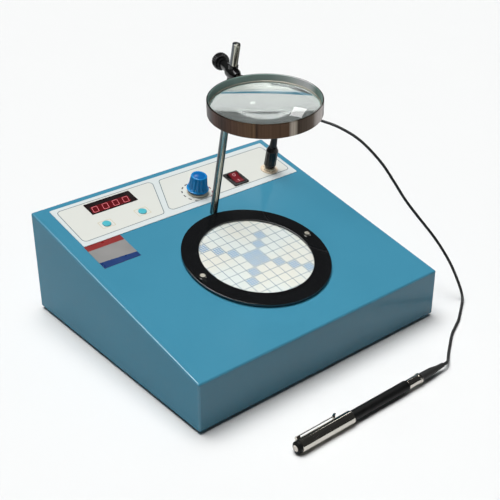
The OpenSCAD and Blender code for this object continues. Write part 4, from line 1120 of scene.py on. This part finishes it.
# Painted light and shade inside; the white from 14 to 26 degrees is a painted highlight.
for degrees, colour in (
    (0, "#86A39B"), (14, "#FFFFFF"), (26, "#FFFFFF"), (38, "#E4EEE9"), (60, "#B5CCC4"), (100, "#A9C8BE"),
    (140, "#7E9D95"),
):
    rim_inside_painted_light.color_ramp.elements.new((degrees + 180) / 360).color = srgb(colour)
rim_colour = add_node(
    rim_metal,
    "ShaderNodeMix",
    {0: is_outside.outputs[0], 6: rim_inside_painted_light.outputs["Color"], 7: rim_outside.outputs[0]},
    data_type="RGBA",
)
rim_bare = add_node(
    rim_metal, "ShaderNodeMapRange", {"Value": is_outside.outputs[0], "To Min": 0.1, "To Max": 1.0}
)
rim_metal.node_tree.links.new(rim_colour.outputs[2], rim_shader.inputs["Base Color"])
rim_metal.node_tree.links.new(rim_bare.outputs["Result"], rim_shader.inputs["Metallic"])
print("finish", rim_metal.name)

# %% [markdown]
# The band is spun with the small seat that the glass rests on. The boss for the stud is a short cone of
# even width, set into it. A wire ring holds the glass down.

# %% Rim
boss_radius = 5.5
boss_depth = 5.6
boss_out = 21.3
rim_profile = [
    (51.4, -6.7), (51.7, -7), (52.7, -7), (53, -6.7), (53, 6.7), (52.7, 7), (51.7, 7), (51.4, 6.7),
    (51.4, -3.83), (49.4, -3.83), (49.4, -4.83), (51.4, -5.83), (51.4, -6.7),
]
rim_bm = turned(rim_profile, steps=256)
bmesh.ops.create_cone(
    rim_bm, cap_ends=True, segments=48, radius1=boss_radius * mm, radius2=boss_radius * mm,
    depth=boss_depth * mm,
    matrix=on_lens.inverted() @ on_arm @ Matrix.Translation((0, 0, boss_out * mm)),
)
make_piece("lens_band", rim_bm, "magnifier", rim_metal, ["lens_rim"], on_lens)
print("rim", 2 * max(r for r, z in rim_profile), "mm across")

# %% Wire ring
wire_radius = 0.6
wire_out = 50.6
wire_up = 0.22
wire_profile = []
for step in range(13):
    angle = step * math.tau / 12
    point = (wire_out + wire_radius * math.cos(angle), wire_up + wire_radius * math.sin(angle))
    wire_profile.append(point)
make_piece(
    "glass_retainer", turned(wire_profile, steps=192), "magnifier", nickel,
    ["lens_retainer"], on_lens, sharp=60,
)
print("wire ring", 2 * wire_out, "mm across")

# %% [markdown]
# **The glass.** It is thick crown glass, curved on both faces and faintly green. A flat disc would look
# empty. It is spun from its own profile, so that it bends what is seen through it as the real one does. A
# thin film of dust scatters some of the light, and a few smears dull its polish.

# %% Glass finish
smears_per_metre = 60.0  # about 17 mm each
glass, glass_shader = plain_finish(
    "dusty_crown_glass", "#E0E5E2", {"Roughness": 0.0, "IOR": 1.52, "Transmission Weight": 0.96}
)
glass_place = add_node(glass, "ShaderNodeTexCoord", {}).outputs["Object"]
glass_smear = add_node(
    glass, "ShaderNodeTexNoise", {"Vector": glass_place, "Scale": smears_per_metre, "Detail": 3.0}
)
glass_dulling = add_node(
    glass,
    "ShaderNodeMapRange",
    {"Value": glass_smear.outputs["Fac"], "From Min": 0.45, "From Max": 0.75,
     "To Min": 0.0, "To Max": 0.02},
)
glass.node_tree.links.new(glass_dulling.outputs["Result"], glass_shader.inputs["Roughness"])
print("finish", glass.name)

# %% Glass
glass_radius = 51.2
glass_swell = 4.5
glass_half = 6.0
glass_drop = 2.0
glass_curve = (glass_radius**2 + glass_swell**2) / (2 * glass_swell)
glass_face = []
for step in range(25):
    r = glass_radius * step / 24
    glass_face.append((r, glass_half - glass_curve + math.sqrt(glass_curve**2 - r**2)))
lower_face = [(r, -z - glass_drop) for r, z in glass_face]
upper_face = [(r, z - glass_drop) for r, z in reversed(glass_face)]
glass_bm = turned(lower_face + upper_face, steps=192)
magnifier = make_piece(
    "magnifier_glass", glass_bm, "magnifier", glass, ["lens_glass"], on_lens, flat=False
)
# Clear glass lets the light through, and the render would give it a dark shadow.
magnifier.visible_shadow = False
print("glass faces have a radius of", round(glass_curve, 1), "mm")

# %% [markdown]
# **The pen.** It lies along the bench: a bright cap with a clip, a dark ring and a pale end, a soft black
# grip, a bright collar with a raised band, and a tapering strain relief. All but the clip are turned on
# one axis, so the profiles share their heights, and one matrix lays them down.

# %% Pen
pen_turn = Matrix.Rotation(math.radians(90), 4, "Y")
on_pen = Matrix.Translation((0, pen_axis[0] * mm, pen_axis[1] * mm)) @ pen_turn
cap_profile = [
    (0, -103), (6.1, -103), (6.5, -102.6), (6.5, -40.3), (6.2, -40), (5.2, -40), (5.2, -101), (0, -101),
]
dark_ring_profile = [(0, -106), (5.1, -106), (5.7, -105.4), (5.7, -103), (0, -103)]
collar_profile = [
    (0, 34), (4.8, 34), (4.8, 49.6), (5.2, 49.6), (5.5, 50), (5.5, 51.4), (5.1, 52), (0, 52),
]
relief_profile = [
    (0, 52), (4.3, 52), (4.0, 69), (2.7, 77.5), (2.3, 86), (1.7, 86), (1.7, 78), (0, 78),
]
for name, node, body, material, slot, profile in (
    ("bright_cap", "pen_cap", "cap", chrome, "chrome_plate", cap_profile),
    ("cap_dark_ring", "cap_ring", "cap", grip_coat, "black_grip", dark_ring_profile),
    ("tail_collar", "pen_collar", "probe", chrome, "chrome_plate", collar_profile),
    ("strain_relief", "pen_boot", "probe", rubber, "black_rubber", relief_profile),
):
    pen_bm = soften(turned(profile), radius=0.2, segments=2, corner=50)
    make_piece(name, pen_bm, body, material, [node], on_pen)
print("pen from", cap_profile[0][1], "to", max(z for r, z in relief_profile), "mm, without its end")

# %% Pale end of the cap
end_radius = 3.0
end_profile = [
    (0, -107.5), (end_radius - 0.4, -107.5), (end_radius, -107.1), (4.2, -106.8), (4.5, -106.5),
    (4.5, -106), (0, -106),
]
end_bm = turned(end_profile)
for face in end_bm.faces:
    middle = face.calc_center_median()
    face.material_index = int(math.hypot(middle.x, middle.y) > end_radius * mm)
cap_end = make_piece("cap_pale_end", end_bm, "cap", ivory, ["cap_button"], on_pen)
cap_end.data.materials.append(grip_coat)
print("pale end at", end_profile[0][1], "mm")

# %% [markdown]
# **The grip.** Fine crossed knurling keeps it from slipping. A bump would vanish at the outline, so it is
# in the mesh: the spun wall has many rows, and every second point is pressed in, like a chessboard. It is
# drawn a little coarser than real knurling, so that it shows.

# %% Knurled grip
grip_radius = 5.3
knurl_steps = 40
knurl_pitch = 1.2
knurl_depth = 0.18
knurl_rows = [-37 + knurl_pitch * row for row in range(58)]
grip_profile = [(0, -39.7), (4.9, -39.7), (grip_radius, -39.3)]
grip_profile += [(grip_radius, row) for row in knurl_rows]
grip_profile += [(grip_radius, 33), (4.3, 34), (0, 34)]
grip_bm = turned(grip_profile, steps=knurl_steps)
for vert in grip_bm.verts:
    turn = round(math.atan2(vert.co.y, vert.co.x) / math.tau * knurl_steps)
    row = round((vert.co.z / mm - knurl_rows[0]) / knurl_pitch)
    if 0 <= row < len(knurl_rows) and (turn + row) % 2:
        vert.co.xy *= 1 - knurl_depth / grip_radius
make_piece("soft_grip", grip_bm, "probe", grip_coat, ["pen_barrel"], on_pen, sharp=50)
print("grip with", len(knurl_rows), "rows of knurling")

# %% [markdown]
# **Pieces that stay as the CAD made them.** Screws, nuts, feet, boards and other small parts keep their
# CAD mesh, because its shape is already right. Welding its loose triangles and splitting it again at
# sharp edges shades it smoothly without changing it.

# %% Finishes for the CAD pieces
cad_finishes = {
    enamel: ["base_plate"],
    nickel: ["ring_screws", "pot_shaft"],
    zinc: ["base_screws", "foot_screws", "foot_nuts", "bowl_nuts", "rod_washer", "rod_nut", "pot_nut",
           "board_standoffs", "power_pillars"],
    rubber: ["rubber_feet", "mains_grommet"],
    film: ["panel_overlay"],
    filter_plastic: ["display_window"],
    dark_case: ["display_module", "button_switches", "power_transformer"],
    solder_mask: ["control_board", "power_board"],
    spun: ["brightness_pot", "lamp_bowl", "lamp_board"],
    black_nylon: ["switch_housing", "clamp_liner"],
    red_poly: ["switch_rocker"],
    brass: ["jack_socket", "jack_nut", "pen_nib"],
    plate: ["grid_plate"],
    lamp_white: ["opal_diffuser", "lamp_leds"],
    chrome: ["cap_clip", "plug_pin", "screw_cups"],
    grip_coat: ["pen_front"],
}
for material, names in cad_finishes.items():
    for name in names:
        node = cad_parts[name]
        node.data.materials.clear()
        node.data.materials.append(material)
        node.data.shade_smooth()
        node.modifiers.new("weld", "WELD").merge_threshold = 1e-6
        node.modifiers.new("sharp_edges", "EDGE_SPLIT").split_angle = math.radians(35)
print("CAD pieces finished:", sum(len(names) for names in cad_finishes.values()))

# %% [markdown]

print("lead declared,", lead_diameter, "mm thick")

# %% [markdown]
# **The floor.** The object stands on a plain pale floor, wide enough that no view from above shows its
# edge. It isn't part of the object.

# %% Floor
paper = finish(
    "pale_paper", ("#DEDEDD", "#DCDCDB"), 300, 2.0, 0.01, (0.75, 0.85), {"Specular IOR Level": 0.1}
)
floor_reach = 30.0
floor_bm = bmesh.new()
bmesh.ops.create_grid(floor_bm, x_segments=1, y_segments=1, size=floor_reach)
floor_mesh = bpy.data.meshes.new("studio_floor")
floor_bm.to_mesh(floor_mesh)
floor_bm.free()
floor_mesh.materials.append(paper)
floor = bpy.data.objects.new("studio_floor", floor_mesh)
bpy.context.scene.collection.objects.link(floor)
print("floor reaches", floor_reach, "m each way")

# %% [markdown]
# **The light.** The sky is dim all round, so that bright metal has something dark to mirror, with one
# broad soft light overhead, a little to the rear. Area lamps could do this, but a sky has no edge that
# shows in polished pieces. It draws a thin line along the cabinet's left edge and leaves its front in
# shade. A lamp at the right rear gives the glass its glint, and stands so far off that the cabinet's top
# doesn't mirror it.

# %% Lamp for the glint
glint = bpy.data.objects.new("glint_lamp", bpy.data.lights.new("glint_lamp", "AREA"))
glint.data.shape = "RECTANGLE"
glint.data.size = 0.6
glint.data.size_y = 1.5
glint.data.energy = 13
glint_distance = 12
glint_direction = Vector((0.604, 0.507, 0.615))
glint_aim = on_lens @ Vector((0.019, -0.029, 0.002))
glint.location = glint_aim + glint_distance * glint_direction
glint.rotation_euler = (glint_aim - glint.location).to_track_quat("-Z", "Y").to_euler()
bpy.context.scene.collection.objects.link(glint)
print("lamp", glint_distance, "m from the glass")

# %% Soft dome
dome_sky = bpy.data.worlds.new("soft_dome")
dome_sky.use_nodes = True
dome_middle = Vector((-0.04, 0.18, 0.98)).normalized()
dome_edge = 0.9  # cosine of the angle at which the bright part ends
dim_sky, bright_sky = 0.04, 14.6
heading = add_node(dome_sky, "ShaderNodeTexCoord", {}).outputs["Generated"]
facing = add_node(
    dome_sky, "ShaderNodeVectorMath", {0: heading, 1: dome_middle}, operation="DOT_PRODUCT"
)
strength = add_node(
    dome_sky,
    "ShaderNodeMapRange",
    {"Value": facing.outputs["Value"], "From Min": dome_edge, "From Max": 1.0,
     "To Min": dim_sky, "To Max": bright_sky},
)
background = dome_sky.node_tree.nodes["Background"]
background.inputs["Color"].default_value = srgb("#F7F8F9")
dome_sky.node_tree.links.new(strength.outputs["Result"], background.inputs["Strength"])
bpy.context.scene.world = dome_sky
print("bright part of the dome:", round(math.degrees(math.acos(dome_edge))), "degrees round its middle")

# %% [markdown]
